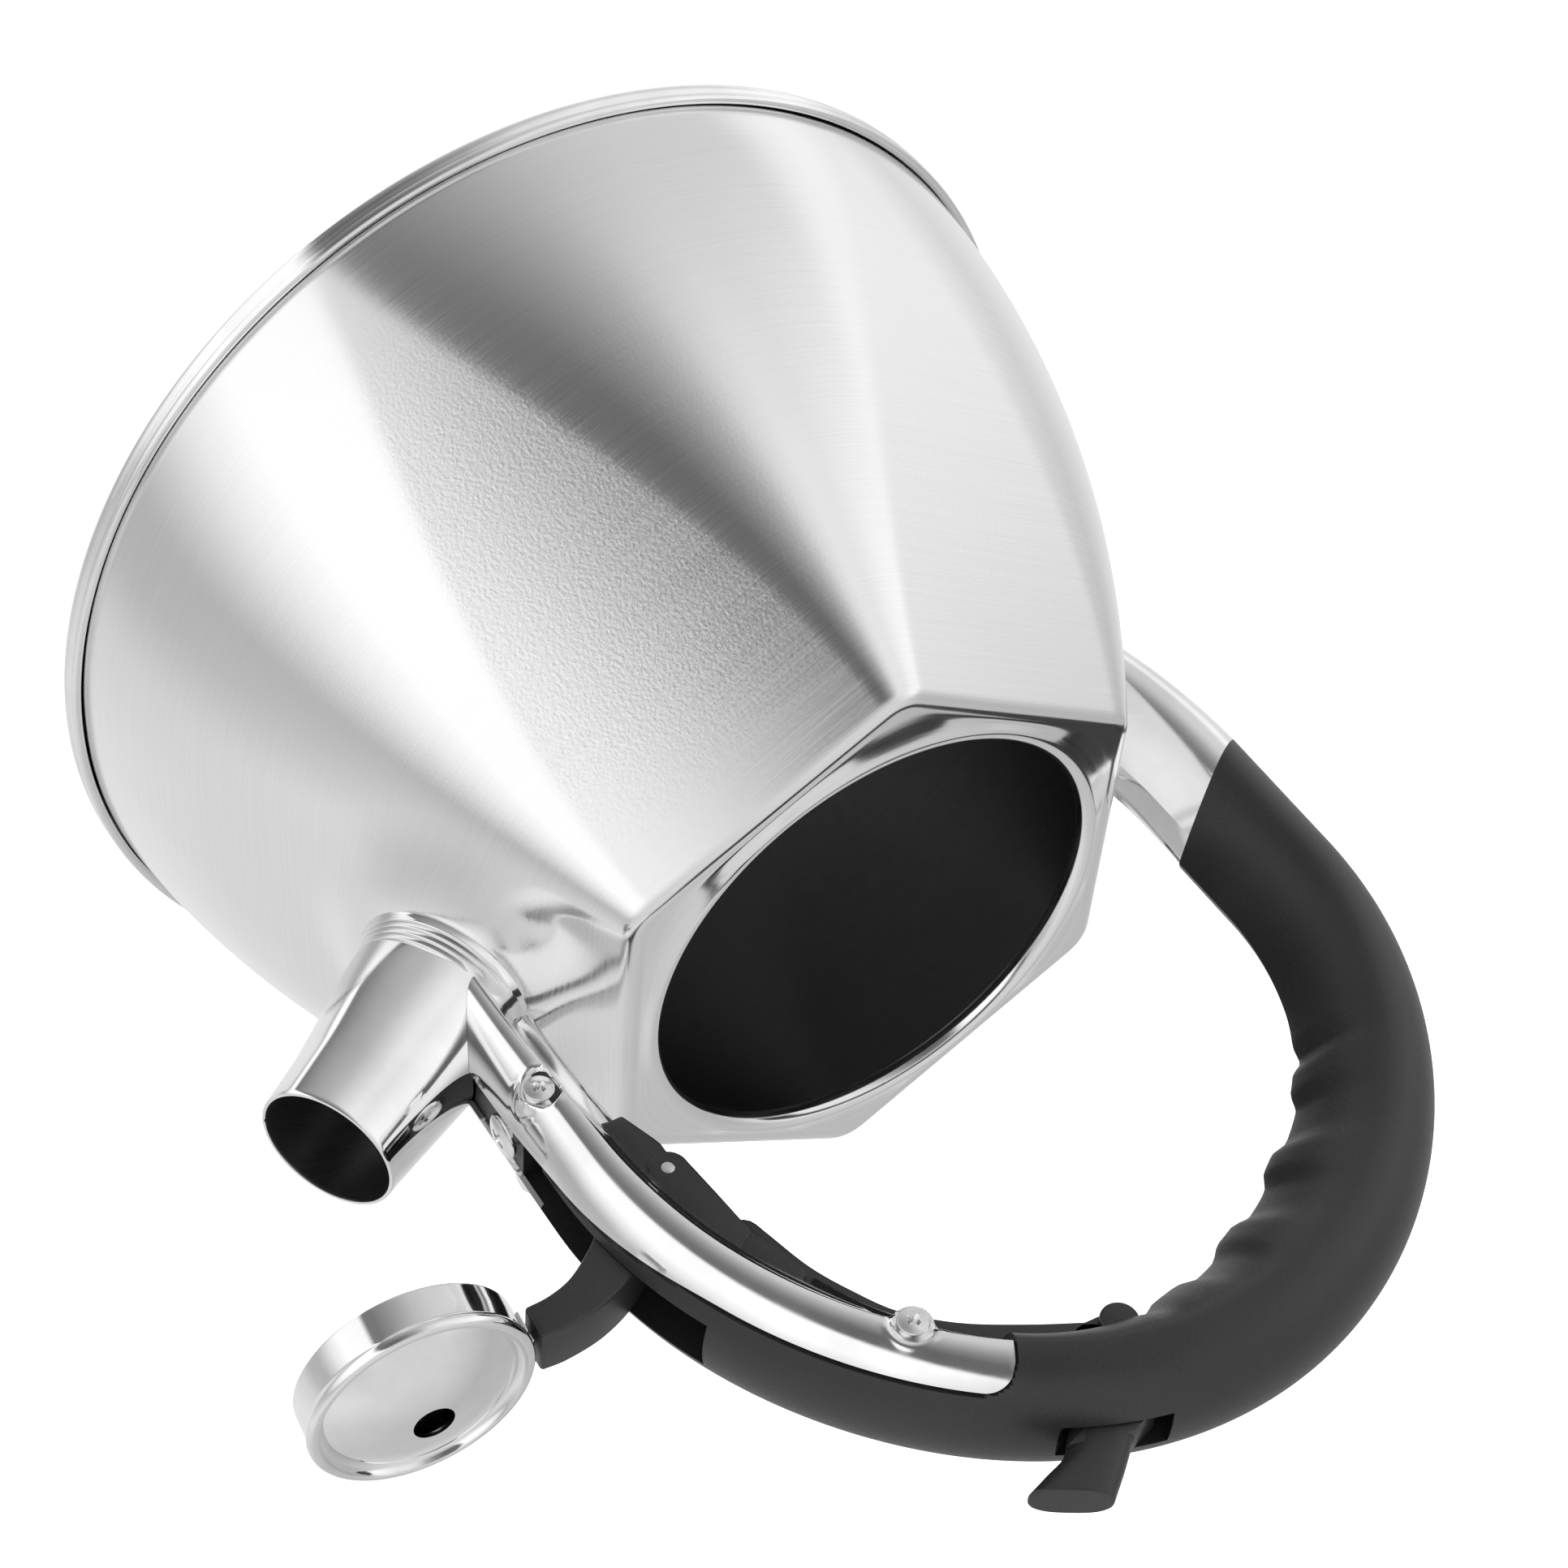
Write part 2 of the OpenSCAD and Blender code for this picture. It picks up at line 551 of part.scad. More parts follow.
// ---- link rod: bent to the arch, forked at the trigger and thin at the crank ----
link_bar_r = 3.1;
link_blade_r = 1.6;
link_run = [[17.5, 211.2], [27.3, 206.2], [37.2, 200.2], [44.9, 193.1], [49.9, 185],
    [53.3, 177.7], [55.6, 169.5], [56.5, 166]];
link_hook = [[56.5, 166], [64.2, 160.8], crank_at];
module link_rod() color("#2a2a2a") difference() {
    union() {
        in_plane(link_w) bar(link_run, link_bar_r);
        in_plane(knuckle_w) spot(link_at, knuckle_r);
        in_plane(link_w) bar([link_at, link_run[0]], knuckle_r - 0.4);
        in_plane(blade_w) {
            bar(link_hook, link_blade_r);
            spot(crank_at, eye_r);
        }
    }
    in_plane(fork_slot_w) spot(link_at, knuckle_r + 0.7);
    in_plane(fork_slot_w) polygon([[8, 212], [8, 222], [21, 222], [18, 212]]);
    cross_pin(link_at, link_pin_r, link_pin_w);
    cross_pin(crank_at, crank_pin_r + crank_play, all_w);
}

// ---- whistle arm: a hub with a crank inside the handle, and an arm out to the cap ----
arm_low = [[80, 156.8], [86, 161.2], [91, 162.6], [96, 162.8]];
arm_high = [[96, 168.8], [91, 169], [84, 168.2], [77, 165.8]];
module whistle_arm() color("#333333") difference() {
    union() {
        in_plane(hub_w) {
            spot(arm_at, hub_r);
            spot(crank_at, eye_r);
            polygon([arm_at + [-1, hub_r - 0.2], arm_at + [2.4, -3.4], [70, 150], arm_low[0],
                arm_high[3]]);
        }
        in_plane(arm_w) polygon(concat([[74.5, 153.2]], arm_low, arm_high, [[72.2, 162.3]]));
    }
    in_plane(crank_slot_w) {
        spot(arm_at, 10.6);
        spot(crank_at, 5.4);
    }
    in_plane(ear_w + 0.02) ear_plate();
    cross_pin(arm_at, pin_r + run_gap, all_w);
    cross_pin(crank_at, crank_pin_r, all_w);
    cross_pin(rivet_at, rivet_r, rivet_w);
}
module crank_pin() color("silver") cross_pin(crank_at, crank_pin_r, hub_w);
module arm_pin() color("silver") cross_pin(arm_at, pin_r, lug_w);

// ---- whistle cap ----
dome_base_r = 18.3;
dome_r = (pow(dome_base_r, 2) + pow(cap_dome, 2)) / (2 * cap_dome);
plate_hole_r = 2.5;
module cap_shell() color("whitesmoke") on_cap() rotate_extrude($fn = 120) difference() {
    union() {
        difference() {
            translate([0, cap_dome - dome_r]) circle(r = dome_r, $fn = 180);
            translate([0, cap_dome - dome_r]) circle(r = dome_r - cap_sheet, $fn = 180);
            translate([-50, -100]) square([100, 100]);
            translate([-50, 0]) square([50 + sound_r, 50]);
        }
        translate([dome_base_r, 0]) circle(r = bead_r, $fn = 32);
        translate([cap_r - cap_sheet, -cap_skirt]) square([cap_sheet, cap_skirt]);
        translate([cap_r - 2.2, -cap_skirt]) square([2.2, cap_sheet]);
    }
    translate([-100, -50]) square([100, 100]);
}
module whistle_plate() color("silver") on_cap() rotate_extrude($fn = 120)
    polygon([[plate_hole_r, 0.7], [plate_hole_r, 1.3], [13.4, 1.3], [17.1, -0.9],
        [cap_r - cap_sheet, -1.3], [cap_r - cap_sheet, -2], [16.9, -1.6], [13.2, 0.7]]);

ear_w = 0.6;
ear_low = -5.6;
ear_high = -1.6;
rivet_at = [92.4, 165.6];
rivet_r = 1.2;
rivet_w = 4;                   // moulded in, so it stops short of the arm's sides
module ear_plate() polygon([[88.6, 163.6], [97.6, 163], [97.4, 166], [88.6, 167.4]]);
module cap_ear() color("whitesmoke") difference() {
    union() {
        in_plane(ear_w) ear_plate();
        on_cap() rotate(180 - ear_turn) rotate_extrude(angle = 2 * ear_turn, $fn = 120)
            translate([cap_r, ear_low]) square([cap_sheet, ear_high - ear_low]);
    }
    on_cap() translate([0, 0, -10]) cylinder(r = cap_r, h = 20, $fn = 120);
    cross_pin(rivet_at, rivet_r, all_w);
}
module cap_rivet() color("silver") cross_pin(rivet_at, rivet_r, rivet_w);

body_shell();
base_pan();
base_core();
base_cover();
spout_tube();
spout_collar();
rear_ferrule();
ferrule_plate();
rear_tang();
grip();
front_bracket();
bracket_screws();
channel_screw();
trigger();
trigger_pin();
link_rod();
link_pin();
whistle_arm();
crank_pin();
arm_pin();
cap_shell();
whistle_plate();
cap_ear();
cap_rivet();
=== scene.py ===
"""Looks of a stovetop whistling kettle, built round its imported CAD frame.

Lengths are in millimetres in the frame's axes until a mesh is made, which is in metres.
The handle, the spout and the whistle linkage lie on the plane y = 0.
"""

import math

import bmesh
import bpy
from mathutils import Matrix, Vector


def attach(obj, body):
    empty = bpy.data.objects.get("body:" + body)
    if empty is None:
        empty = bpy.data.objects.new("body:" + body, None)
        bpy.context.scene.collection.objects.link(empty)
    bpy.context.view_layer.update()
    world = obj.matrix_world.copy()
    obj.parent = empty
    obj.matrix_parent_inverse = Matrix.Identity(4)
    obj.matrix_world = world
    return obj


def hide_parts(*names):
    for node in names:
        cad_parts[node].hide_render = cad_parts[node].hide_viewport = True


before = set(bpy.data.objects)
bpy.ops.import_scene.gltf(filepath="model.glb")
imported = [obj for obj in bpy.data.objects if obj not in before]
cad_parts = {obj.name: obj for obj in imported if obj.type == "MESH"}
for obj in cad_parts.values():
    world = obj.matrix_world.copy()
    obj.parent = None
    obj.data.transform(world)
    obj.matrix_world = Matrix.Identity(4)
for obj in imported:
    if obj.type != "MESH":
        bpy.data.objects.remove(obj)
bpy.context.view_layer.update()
MM = 0.001
TAU = 2 * math.pi


# ---- small helpers -------------------------------------------------------------------------
def cosd(angle):
    return math.cos(math.radians(angle))


def sind(angle):
    return math.sin(math.radians(angle))


def lerp(a, b, t):
    return a + (b - a) * t


def smooth(t):
    t = min(1.0, max(0.0, t))
    return t * t * (3 - 2 * t)


def spread(first, last, count):
    """A list of count + 1 numbers from first to last."""
    return [lerp(first, last, i / count) for i in range(count + 1)]


def table(x, points):
    """Straight-line reading of a list of (x, y) points."""
    if x <= points[0][0]:
        return points[0][1]
    for (x0, y0), (x1, y1) in zip(points, points[1:]):
        if x <= x1:
            return lerp(y0, y1, (x - x0) / (x1 - x0))
    return points[-1][1]


def soft_table(x, points, reach=5):
    """The same, with its corners rounded over reach on each side."""
    return sum(table(x + reach * k / 3, points) for k in range(-3, 4)) / 7


# ---- mesh makers ---------------------------------------------------------------------------
def mesh_piece(name, points, faces):
    mesh = bpy.data.meshes.new(name)
    mesh.from_pydata([Vector(p) * MM for p in points], [], faces)
    mesh.validate()
    piece = bpy.data.objects.new(name, mesh)
    bpy.context.scene.collection.objects.link(piece)
    return piece


def grid_faces(rows, cols, wrap, base=0):
    faces = []
    for i in range(rows - 1):
        for j in range(cols if wrap else cols - 1):
            k = (j + 1) % cols
            a = base + i * cols
            faces.append((a + j, a + k, a + cols + k, a + cols + j))
    return faces


def grid_piece(name, rows, wrap=True, caps=False):
    """A skin through rows of points, closed at both ends if caps."""
    cols = len(rows[0])
    faces = grid_faces(len(rows), cols, wrap)
    if caps:
        last = (len(rows) - 1) * cols
        faces.append(tuple(range(cols - 1, -1, -1)))
        faces.append(tuple(last + j for j in range(cols)))
    piece = mesh_piece(name, [p for row in rows for p in row], faces)
    face_out(piece)
    return piece


def face_out(piece):
    shape = bmesh.new()
    shape.from_mesh(piece.data)
    bmesh.ops.recalc_face_normals(shape, faces=shape.faces)
    shape.to_mesh(piece.data)
    shape.free()


def weld(piece, distance=0.004):
    shape = bmesh.new()
    shape.from_mesh(piece.data)
    bmesh.ops.remove_doubles(shape, verts=shape.verts, dist=distance * MM)
    bmesh.ops.recalc_face_normals(shape, faces=shape.faces)
    shape.to_mesh(piece.data)
    shape.free()


def lathe(name, profile, steps=160, place=None):
    """A turned piece: profile is an outline of (radius, height), place puts it in the frame.

    An outline that starts and ends on the axis is a solid, any other is closed into a ring.
    """
    place = place or (lambda x, y, z: (x, y, z))
    rows = []
    solid = profile[0][0] == 0 and profile[-1][0] == 0
    for r, h in profile if solid else profile + profile[:1]:
        rows.append([place(r * math.cos(TAU * j / steps), r * math.sin(TAU * j / steps), h)
                     for j in range(steps)])
    piece = grid_piece(name, rows)
    weld(piece)
    return piece


def arc(cx, cy, r, start, end, count):
    return [(cx + r * cosd(a), cy + r * sind(a)) for a in spread(start, end, count)]


def rounded(points, radius, count=5):
    """A closed outline with its corners rounded; radius is one number or one per corner."""
    out = []
    n = len(points)
    for i, (x, y) in enumerate(points):
        r = radius[i] if isinstance(radius, (list, tuple)) else radius
        p, a, b = Vector((x, y)), Vector(points[i - 1]), Vector(points[(i + 1) % n])
        if r <= 0:
            out.append((x, y))
            continue
        to_a, to_b = (a - p), (b - p)
        r = min(r, to_a.length * 0.48, to_b.length * 0.48)
        start, end = p + to_a.normalized() * r, p + to_b.normalized() * r
        for t in spread(0, 1, count):
            q = start * (1 - t) ** 2 + p * (2 * t * (1 - t)) + end * t ** 2
            out.append((q.x, q.y))
    return out


def through(points, count=6):
    """A smooth line through points (Catmull-Rom)."""
    pts = [Vector(p) for p in points]
    pts = [pts[0] * 2 - pts[1]] + pts + [pts[-1] * 2 - pts[-2]]
    out = []
    for a, b, c, d in zip(pts, pts[1:], pts[2:], pts[3:]):
        for t in spread(0, 1, count)[:-1]:
            q = 0.5 * (2 * b + (c - a) * t + (2 * a - 5 * b + 4 * c - d) * t * t
                       + (3 * b - a - 3 * c + d) * t ** 3)
            out.append((q.x, q.y))
    out.append((pts[-2].x, pts[-2].y))
    return out


def prism_faces(n):
    """Sides and ends between n points and the n after them."""
    sides = [(i, (i + 1) % n, n + (i + 1) % n, n + i) for i in range(n)]
    return sides + [tuple(range(n - 1, -1, -1)), tuple(range(n, 2 * n))]


def prism(name, outline, low, high):
    """An outline in the plane of the handle, x and z, from y = low to y = high."""
    points = [(x, low, z) for x, z in outline] + [(x, high, z) for x, z in outline]
    piece = mesh_piece(name, points, prism_faces(len(outline)))
    face_out(piece)
    return piece


def pin_shape(name, at, r, low, high, steps=40):
    outline = [(at[0] + r * math.cos(TAU * i / steps), at[1] + r * math.sin(TAU * i / steps))
               for i in range(steps)]
    return prism(name, outline, low, high)


def settle(piece):
    """Applies the piece's modifiers to its mesh."""
    graph = bpy.context.evaluated_depsgraph_get()
    mesh = bpy.data.meshes.new_from_object(piece.evaluated_get(graph))
    piece.modifiers.clear()
    spare = piece.data
    piece.data = mesh
    bpy.data.meshes.remove(spare)
    return piece


def merge(name, pieces):
    """One object out of several, with no boolean."""
    points, faces = [], []
    for piece in pieces:
        base = len(points)
        points += [v.co / MM for v in piece.data.vertices]
        faces += [tuple(base + i for i in p.vertices) for p in piece.data.polygons]
        drop(piece)
    return mesh_piece(name, points, faces)


def drop(piece):
    mesh = piece.data
    bpy.data.objects.remove(piece)
    bpy.data.meshes.remove(mesh)


def combine(piece, tools, operation):
    """Boolean of a piece with each tool in turn; the tools are used up."""
    for tool in tools:
        step = piece.modifiers.new("combine", "BOOLEAN")
        step.object = tool
        step.operation = operation
        step.solver = "MANIFOLD"
        bpy.context.view_layer.update()
        settle(piece)
        drop(tool)
    return piece


def cut(piece, *tools):
    return combine(piece, tools, "DIFFERENCE")


def add(piece, *tools):
    return combine(piece, tools, "UNION")


def face_sideways_out(piece):
    """Turns an open sheet's faces away from the plane of the handle."""
    middle = piece.data.polygons[len(piece.data.polygons) // 2]
    if middle.normal.dot(Vector((0, 1 if middle.center.y > 0 else -1, 0))) < 0:
        piece.data.flip_normals()


def bevel(piece, width, count=3, angle=35):
    step = piece.modifiers.new("bevel", "BEVEL")
    step.width = width * MM
    step.segments = count
    step.limit_method = "ANGLE"
    step.angle_limit = math.radians(angle)
    step.use_clamp_overlap = True
    step.miter_outer = "MITER_ARC"
    return settle(piece)


def slice_off(piece, point, normal):
    """Removes what lies beyond the plane through point, on the side its normal points to."""
    shape = bmesh.new()
    shape.from_mesh(piece.data)
    bmesh.ops.bisect_plane(shape, geom=shape.verts[:] + shape.edges[:] + shape.faces[:],
                           plane_co=Vector(point) * MM, plane_no=Vector(normal), clear_outer=True)
    shape.to_mesh(piece.data)
    shape.free()


def thicken(piece, thickness):
    step = piece.modifiers.new("thickness", "SOLIDIFY")
    step.thickness = thickness * MM
    step.offset = -1
    step.use_even_offset = True
    return settle(piece)


def finish(piece, body, nodes, material, angle=32):
    """Shading, finish, and the place of a piece in the frame."""
    piece.data.materials.clear()
    for item in material if isinstance(material, list) else [material]:
        piece.data.materials.append(item)
    for face in piece.data.polygons:
        face.use_smooth = True
    piece.data.set_sharp_from_angle(angle=math.radians(angle))
    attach(piece, body)
    if nodes:
        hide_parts(*nodes)
    return piece


# ---- materials -----------------------------------------------------------------------------
class Nodes:
    """A short way to write a node tree."""

    def __init__(self, name):
        self.material = bpy.data.materials.new(name)
        self.material.use_nodes = True
        self.tree = self.material.node_tree
        self.shader = self.tree.nodes["Principled BSDF"]
        self.coords = self.tree.nodes.new("ShaderNodeTexCoord").outputs["Object"]

    def node(self, kind, **values):
        made = self.tree.nodes.new("ShaderNode" + kind)
        for key, value in values.items():
            setattr(made, key, value)
        return made

    def link(self, source, target):
        self.tree.links.new(source, target)

    def scaled(self, scale):
        mapping = self.node("Mapping")
        mapping.inputs["Scale"].default_value = scale
        self.link(self.coords, mapping.inputs["Vector"])
        return mapping.outputs["Vector"]

    def noise(self, scale, detail=3.0, rough=0.55, stretch=None):
        made = self.node("TexNoise")
        made.inputs["Scale"].default_value = scale
        made.inputs["Detail"].default_value = detail
        made.inputs["Roughness"].default_value = rough
        self.link(self.scaled(stretch) if stretch else self.coords, made.inputs["Vector"])
        return made.outputs["Fac"]

    def span(self, value, low, high, to_low, to_high):
        made = self.node("MapRange")
        self.link(value, made.inputs["Value"])
        for name, number in (("From Min", low), ("From Max", high),
                             ("To Min", to_low), ("To Max", to_high)):
            made.inputs[name].default_value = number
        return made.outputs["Result"]

    def grey(self, value, low, high, dark, light):
        ramp = self.node("ValToRGB")
        self.link(value, ramp.inputs["Fac"])
        for stop, place, tone in zip(ramp.color_ramp.elements, (low, high), (dark, light)):
            stop.position = place
            stop.color = (tone, tone, tone, 1)
        return ramp.outputs["Color"]

    def maths(self, operation, a, b):
        made = self.node("Math", operation=operation)
        for socket, value in zip(made.inputs, (a, b)):
            if isinstance(value, (int, float)):
                socket.default_value = value
            else:
                self.link(value, socket)
        return made.outputs["Value"]

    def height(self):
        split = self.node("SeparateXYZ")
        self.link(self.coords, split.inputs["Vector"])
        return split.outputs["Z"]

    def bump(self, height, depth, strength=1.0, under=None):
        made = self.node("Bump")
        made.inputs["Distance"].default_value = depth * MM
        made.inputs["Strength"].default_value = strength
        self.link(height, made.inputs["Height"])
        if under:
            self.link(under, made.inputs["Normal"])
        return made.outputs["Normal"]


def satin_steel(name, dark, light, rough, brushed_low, brushed_high):
    """Stainless sheet: brushed round the axis near the foot and the top, grained between."""
    n = Nodes(name)
    n.shader.inputs["Metallic"].default_value = 1
    streaks = n.noise(1, 4, 0.7, stretch=(25, 25, 5200))
    broad = n.noise(14, 2, 0.5)
    grain = n.noise(1500, 2, 0.5)
    z = n.height()
    low = n.span(z, brushed_low[0], brushed_low[1], 1, 0)
    high = n.span(z, brushed_high[0], brushed_high[1], 0, 1)
    brushed = n.maths("MAXIMUM", low, high)
    grained = n.maths("SUBTRACT", 1, brushed)
    tone = n.maths("ADD", n.maths("MULTIPLY", streaks, 0.6), n.maths("MULTIPLY", broad, 0.4))
    n.link(n.grey(tone, 0.3, 0.7, dark, light), n.shader.inputs["Base Color"])
    n.link(n.span(streaks, 0.25, 0.75, rough - 0.05, rough + 0.07), n.shader.inputs["Roughness"])
    lines = n.bump(n.maths("MULTIPLY", streaks, n.maths("ADD", brushed, 0.25)), 0.012, 0.5)
    pebble = n.bump(n.maths("MULTIPLY", grain, grained), 0.021, 0.55, under=lines)
    n.link(pebble, n.shader.inputs["Normal"])
    return n.material


def polished_steel(name, rough, waviness=0.012):
    n = Nodes(name)
    n.shader.inputs["Metallic"].default_value = 1
    smear = n.noise(55, 4, 0.6)
    scratch = n.noise(1, 2, 0.6, stretch=(900, 900, 60))
    n.link(n.grey(smear, 0.35, 0.65, 0.80, 0.90), n.shader.inputs["Base Color"])
    n.link(n.span(n.maths("ADD", n.maths("MULTIPLY", smear, 0.7), n.maths("MULTIPLY", scratch, 0.3)),
                  0.35, 0.7, rough * 0.6, rough * 1.6), n.shader.inputs["Roughness"])
    wave = n.bump(n.noise(130, 1, 0.4), waviness, 0.35)
    n.link(n.bump(scratch, 0.002, 0.4, under=wave), n.shader.inputs["Normal"])
    return n.material


def nylon(name, dark, light, rough, grain_depth):
    """Black moulded nylon: a fine sparkling grain, a little paler where it is handled."""
    n = Nodes(name)
    worn = n.noise(28, 3, 0.6)
    grain = n.noise(2300, 3, 0.7)
    fleck = n.noise(3400, 1, 0.5)
    tone = n.maths("ADD", n.maths("MULTIPLY", worn, 0.5), n.maths("MULTIPLY", grain, 0.5))
    n.link(n.grey(tone, 0.35, 0.68, dark, light), n.shader.inputs["Base Color"])
    n.link(n.span(fleck, 0.62, 0.74, rough, rough * 0.55), n.shader.inputs["Roughness"])
    n.shader.inputs["Specular IOR Level"].default_value = 0.5
    soft = n.bump(n.noise(420, 2, 0.5), grain_depth * 0.9, 0.4)
    n.link(n.bump(grain, grain_depth, 0.8, under=soft), n.shader.inputs["Normal"])
    return n.material


def turned_metal(name, tone, rough):
    """Machined or cold-headed metal: fine turning marks and a mottled tone."""
    n = Nodes(name)
    n.shader.inputs["Metallic"].default_value = 1
    mottle = n.noise(380, 3, 0.6)
    marks = n.noise(1, 3, 0.6, stretch=(3000, 3000, 3000))
    n.link(n.grey(mottle, 0.3, 0.7, tone * 0.86, min(1, tone * 1.1)), n.shader.inputs["Base Color"])
    n.link(n.span(marks, 0.3, 0.7, rough * 0.75, rough * 1.3), n.shader.inputs["Roughness"])
    n.link(n.bump(marks, 0.006, 0.5), n.shader.inputs["Normal"])
    return n.material


BODY_STEEL = satin_steel("satin_body_steel", 0.80, 0.90, 0.13, (0.012, 0.045), (0.098, 0.116))
# Dull unpolished steel for the inside: the rougher finish is real, but its tone is set far darker
# than the outside's as painted shade for the shade inside the kettle.
INSIDE_STEEL_PAINTED_SHADE = satin_steel("dull_inside_steel_painted_shade", 0.28, 0.42, 0.38, (0.4, 0.5), (-0.2, -0.1))
POLISHED = polished_steel("polished_steel", 0.075)
POLISHED_WAVY = polished_steel("polished_pressed_steel", 0.11, 0.03)
SPOUT_INSIDE = satin_steel("dull_spout_inside", 0.42, 0.55, 0.30, (0.4, 0.5), (-0.2, -0.1))
GRIP_NYLON = nylon("grained_black_nylon", 0.008, 0.015, 0.42, 0.045)
LEVER_NYLON = nylon("smooth_black_nylon", 0.010, 0.018, 0.38, 0.02)
SCREW_STEEL = turned_metal("zinc_screw_steel", 0.80, 0.16)
PIN_STEEL = turned_metal("plain_pin_steel", 0.66, 0.24)
ALUMINIUM = turned_metal("pressed_aluminium", 0.72, 0.34)


# ---- body: a circle at the foot that turns into a rounded hexagon --------------------------
FOOT_R, FACET_IN = 103, 50
SHOULDER_Z, SHOULDER_R = 118, 4
WALL_FOOT_Z, SHEET = 4.1, 0.8
MOUTH_R, LIP_R, LIP_RISE = 45, 2.2, 1.4
WALL_POWER = 1.63


def facet(z):
    return FOOT_R - FACET_IN * (z / SHOULDER_Z) ** WALL_POWER


def soften(z):
    return 1 - 0.85 * (z / SHOULDER_Z) ** 1.5


def wall_slope(z):
    rise = FACET_IN * WALL_POWER / SHOULDER_Z * (z / SHOULDER_Z) ** (WALL_POWER - 1)
    return math.degrees(math.atan(rise))


def hexagon_r(t, a, r):
    """Radius at angle t of a hexagon with apothem a whose corners are rounded to radius r."""
    f = abs(((t % 60) + 90) % 60 - 30)
    corner = (a - r) / cosd(30)
    if a * sind(f) / cosd(f) <= (a - r) * sind(30) / cosd(30):
        return a / cosd(f)
    return corner * cosd(30 - f) + math.sqrt(r * r - (corner * sind(30 - f)) ** 2)


TOP_A = facet(SHOULDER_Z)
TOP_CORNER = TOP_A * soften(SHOULDER_Z)
TOP_SLOPE = wall_slope(SHOULDER_Z)
TOP_Z = SHOULDER_Z + SHOULDER_R * (1 - sind(TOP_SLOPE))


def wall_row(z, inset):
    s, a = wall_slope(z), facet(z)
    return (a - inset * cosd(s), a * soften(z) - inset * cosd(s), z - inset * sind(s), 0)


def shoulder_row(turn, inset):
    r = SHOULDER_R - inset
    reach = r * cosd(turn) - SHOULDER_R * cosd(TOP_SLOPE)
    return (TOP_A + reach, TOP_CORNER + reach,
            SHOULDER_Z - SHOULDER_R * sind(TOP_SLOPE) + r * sind(turn), 0)


def lip_row(turn, inset):
    r = LIP_R - inset
    return (MOUTH_R + LIP_R - r * sind(turn), 0, TOP_Z + LIP_RISE - LIP_R + r * cosd(turn), 1)


def plate_row(t, inset):
    """The flat top between the shoulder and the lip, t from 0 to 1."""
    outer, inner = shoulder_row(90, inset), lip_row(0, inset)
    blend = smooth(t)
    return (lerp(outer[0], inner[0], t), lerp(outer[1], inner[0], t),
            lerp(outer[2], inner[2], smooth(t * 1.1 - 0.1)), blend)


def skin_ring(row, columns):
    a, corner, z, circle = row
    ring = []
    for j in range(columns):
        t = 360 * j / columns
        r = (1 - circle) * hexagon_r(t, a, max(0.5, corner)) + circle * a
        ring.append((r * cosd(t), r * sind(t), z))
    return ring


SPOUT_SLOPE, SPOUT_R, SPOUT_ROOT_R, SPOUT_L, SPOUT_WALL = 31, 12.8, 16.1, 44.5, 0.8
SPOUT_TAPER = (SPOUT_ROOT_R - SPOUT_R) / SPOUT_L
FLARE_R, FLARE_TAPER, FLARE_SHIFT, FLARE_LEAN = 16.1, 0.083, 3, 4.6
NECK_SHIFT, NECK_R, NECK_L = 1.5, 17, 5.9
SPOUT_FOOT_Z = 92.8
SPOUT_FOOT = (facet(SPOUT_FOOT_Z), 0, SPOUT_FOOT_Z)


def on_spout(x, y, z):
    """From the spout's own frame, z along its axis and x to its underside, to the kettle's."""
    c, s = cosd(SPOUT_SLOPE), sind(SPOUT_SLOPE)
    return (SPOUT_FOOT[0] + z * c + x * s, y, SPOUT_FOOT[2] + z * s - x * c)


def spout_radius(clock, s, inset=0):
    """Reach of the spout's skin from its axis: a long taper, with a flare on the underside."""
    taper = SPOUT_ROOT_R - SPOUT_TAPER * s
    shift = FLARE_SHIFT - s * sind(FLARE_LEAN)
    side = shift * sind(clock)
    flare = shift * cosd(clock) + math.sqrt((FLARE_R - FLARE_TAPER * s) ** 2 - side ** 2)
    gap = taper - flare
    blend = 0.12
    return (taper + flare + math.sqrt(gap * gap + blend * blend)) / 2 - inset


def spout_tool(grow):
    """A closed solid that fills the spout, grown by grow."""
    rows = []
    for s in [-4] + spread(-2, 40, 42) + [60]:
        rows.append([on_spout(spout_radius(t, min(s, SPOUT_L), -grow) * cosd(t),
                              spout_radius(t, min(s, SPOUT_L), -grow) * sind(t), s)
                     for t in spread(0, 360, 120)[:-1]])
    return grid_piece("spout_tool", rows, True, True)


def press_round_spout(p):
    """The wall is pressed out round the spout into a low neck with soft sides."""
    dx, dz = p[0] - SPOUT_FOOT[0], p[2] - SPOUT_FOOT[2]
    c, s = cosd(SPOUT_SLOPE), sind(SPOUT_SLOPE)
    across = math.hypot(p[1], dz * c - dx * s + NECK_SHIFT)
    if p[0] < 20 or across > 40:
        return p
    push = 4.7 * (1 - smooth((across - 15.5) / 21)) ** 1.6
    return (p[0] + push * c, p[1], p[2] + push * s)


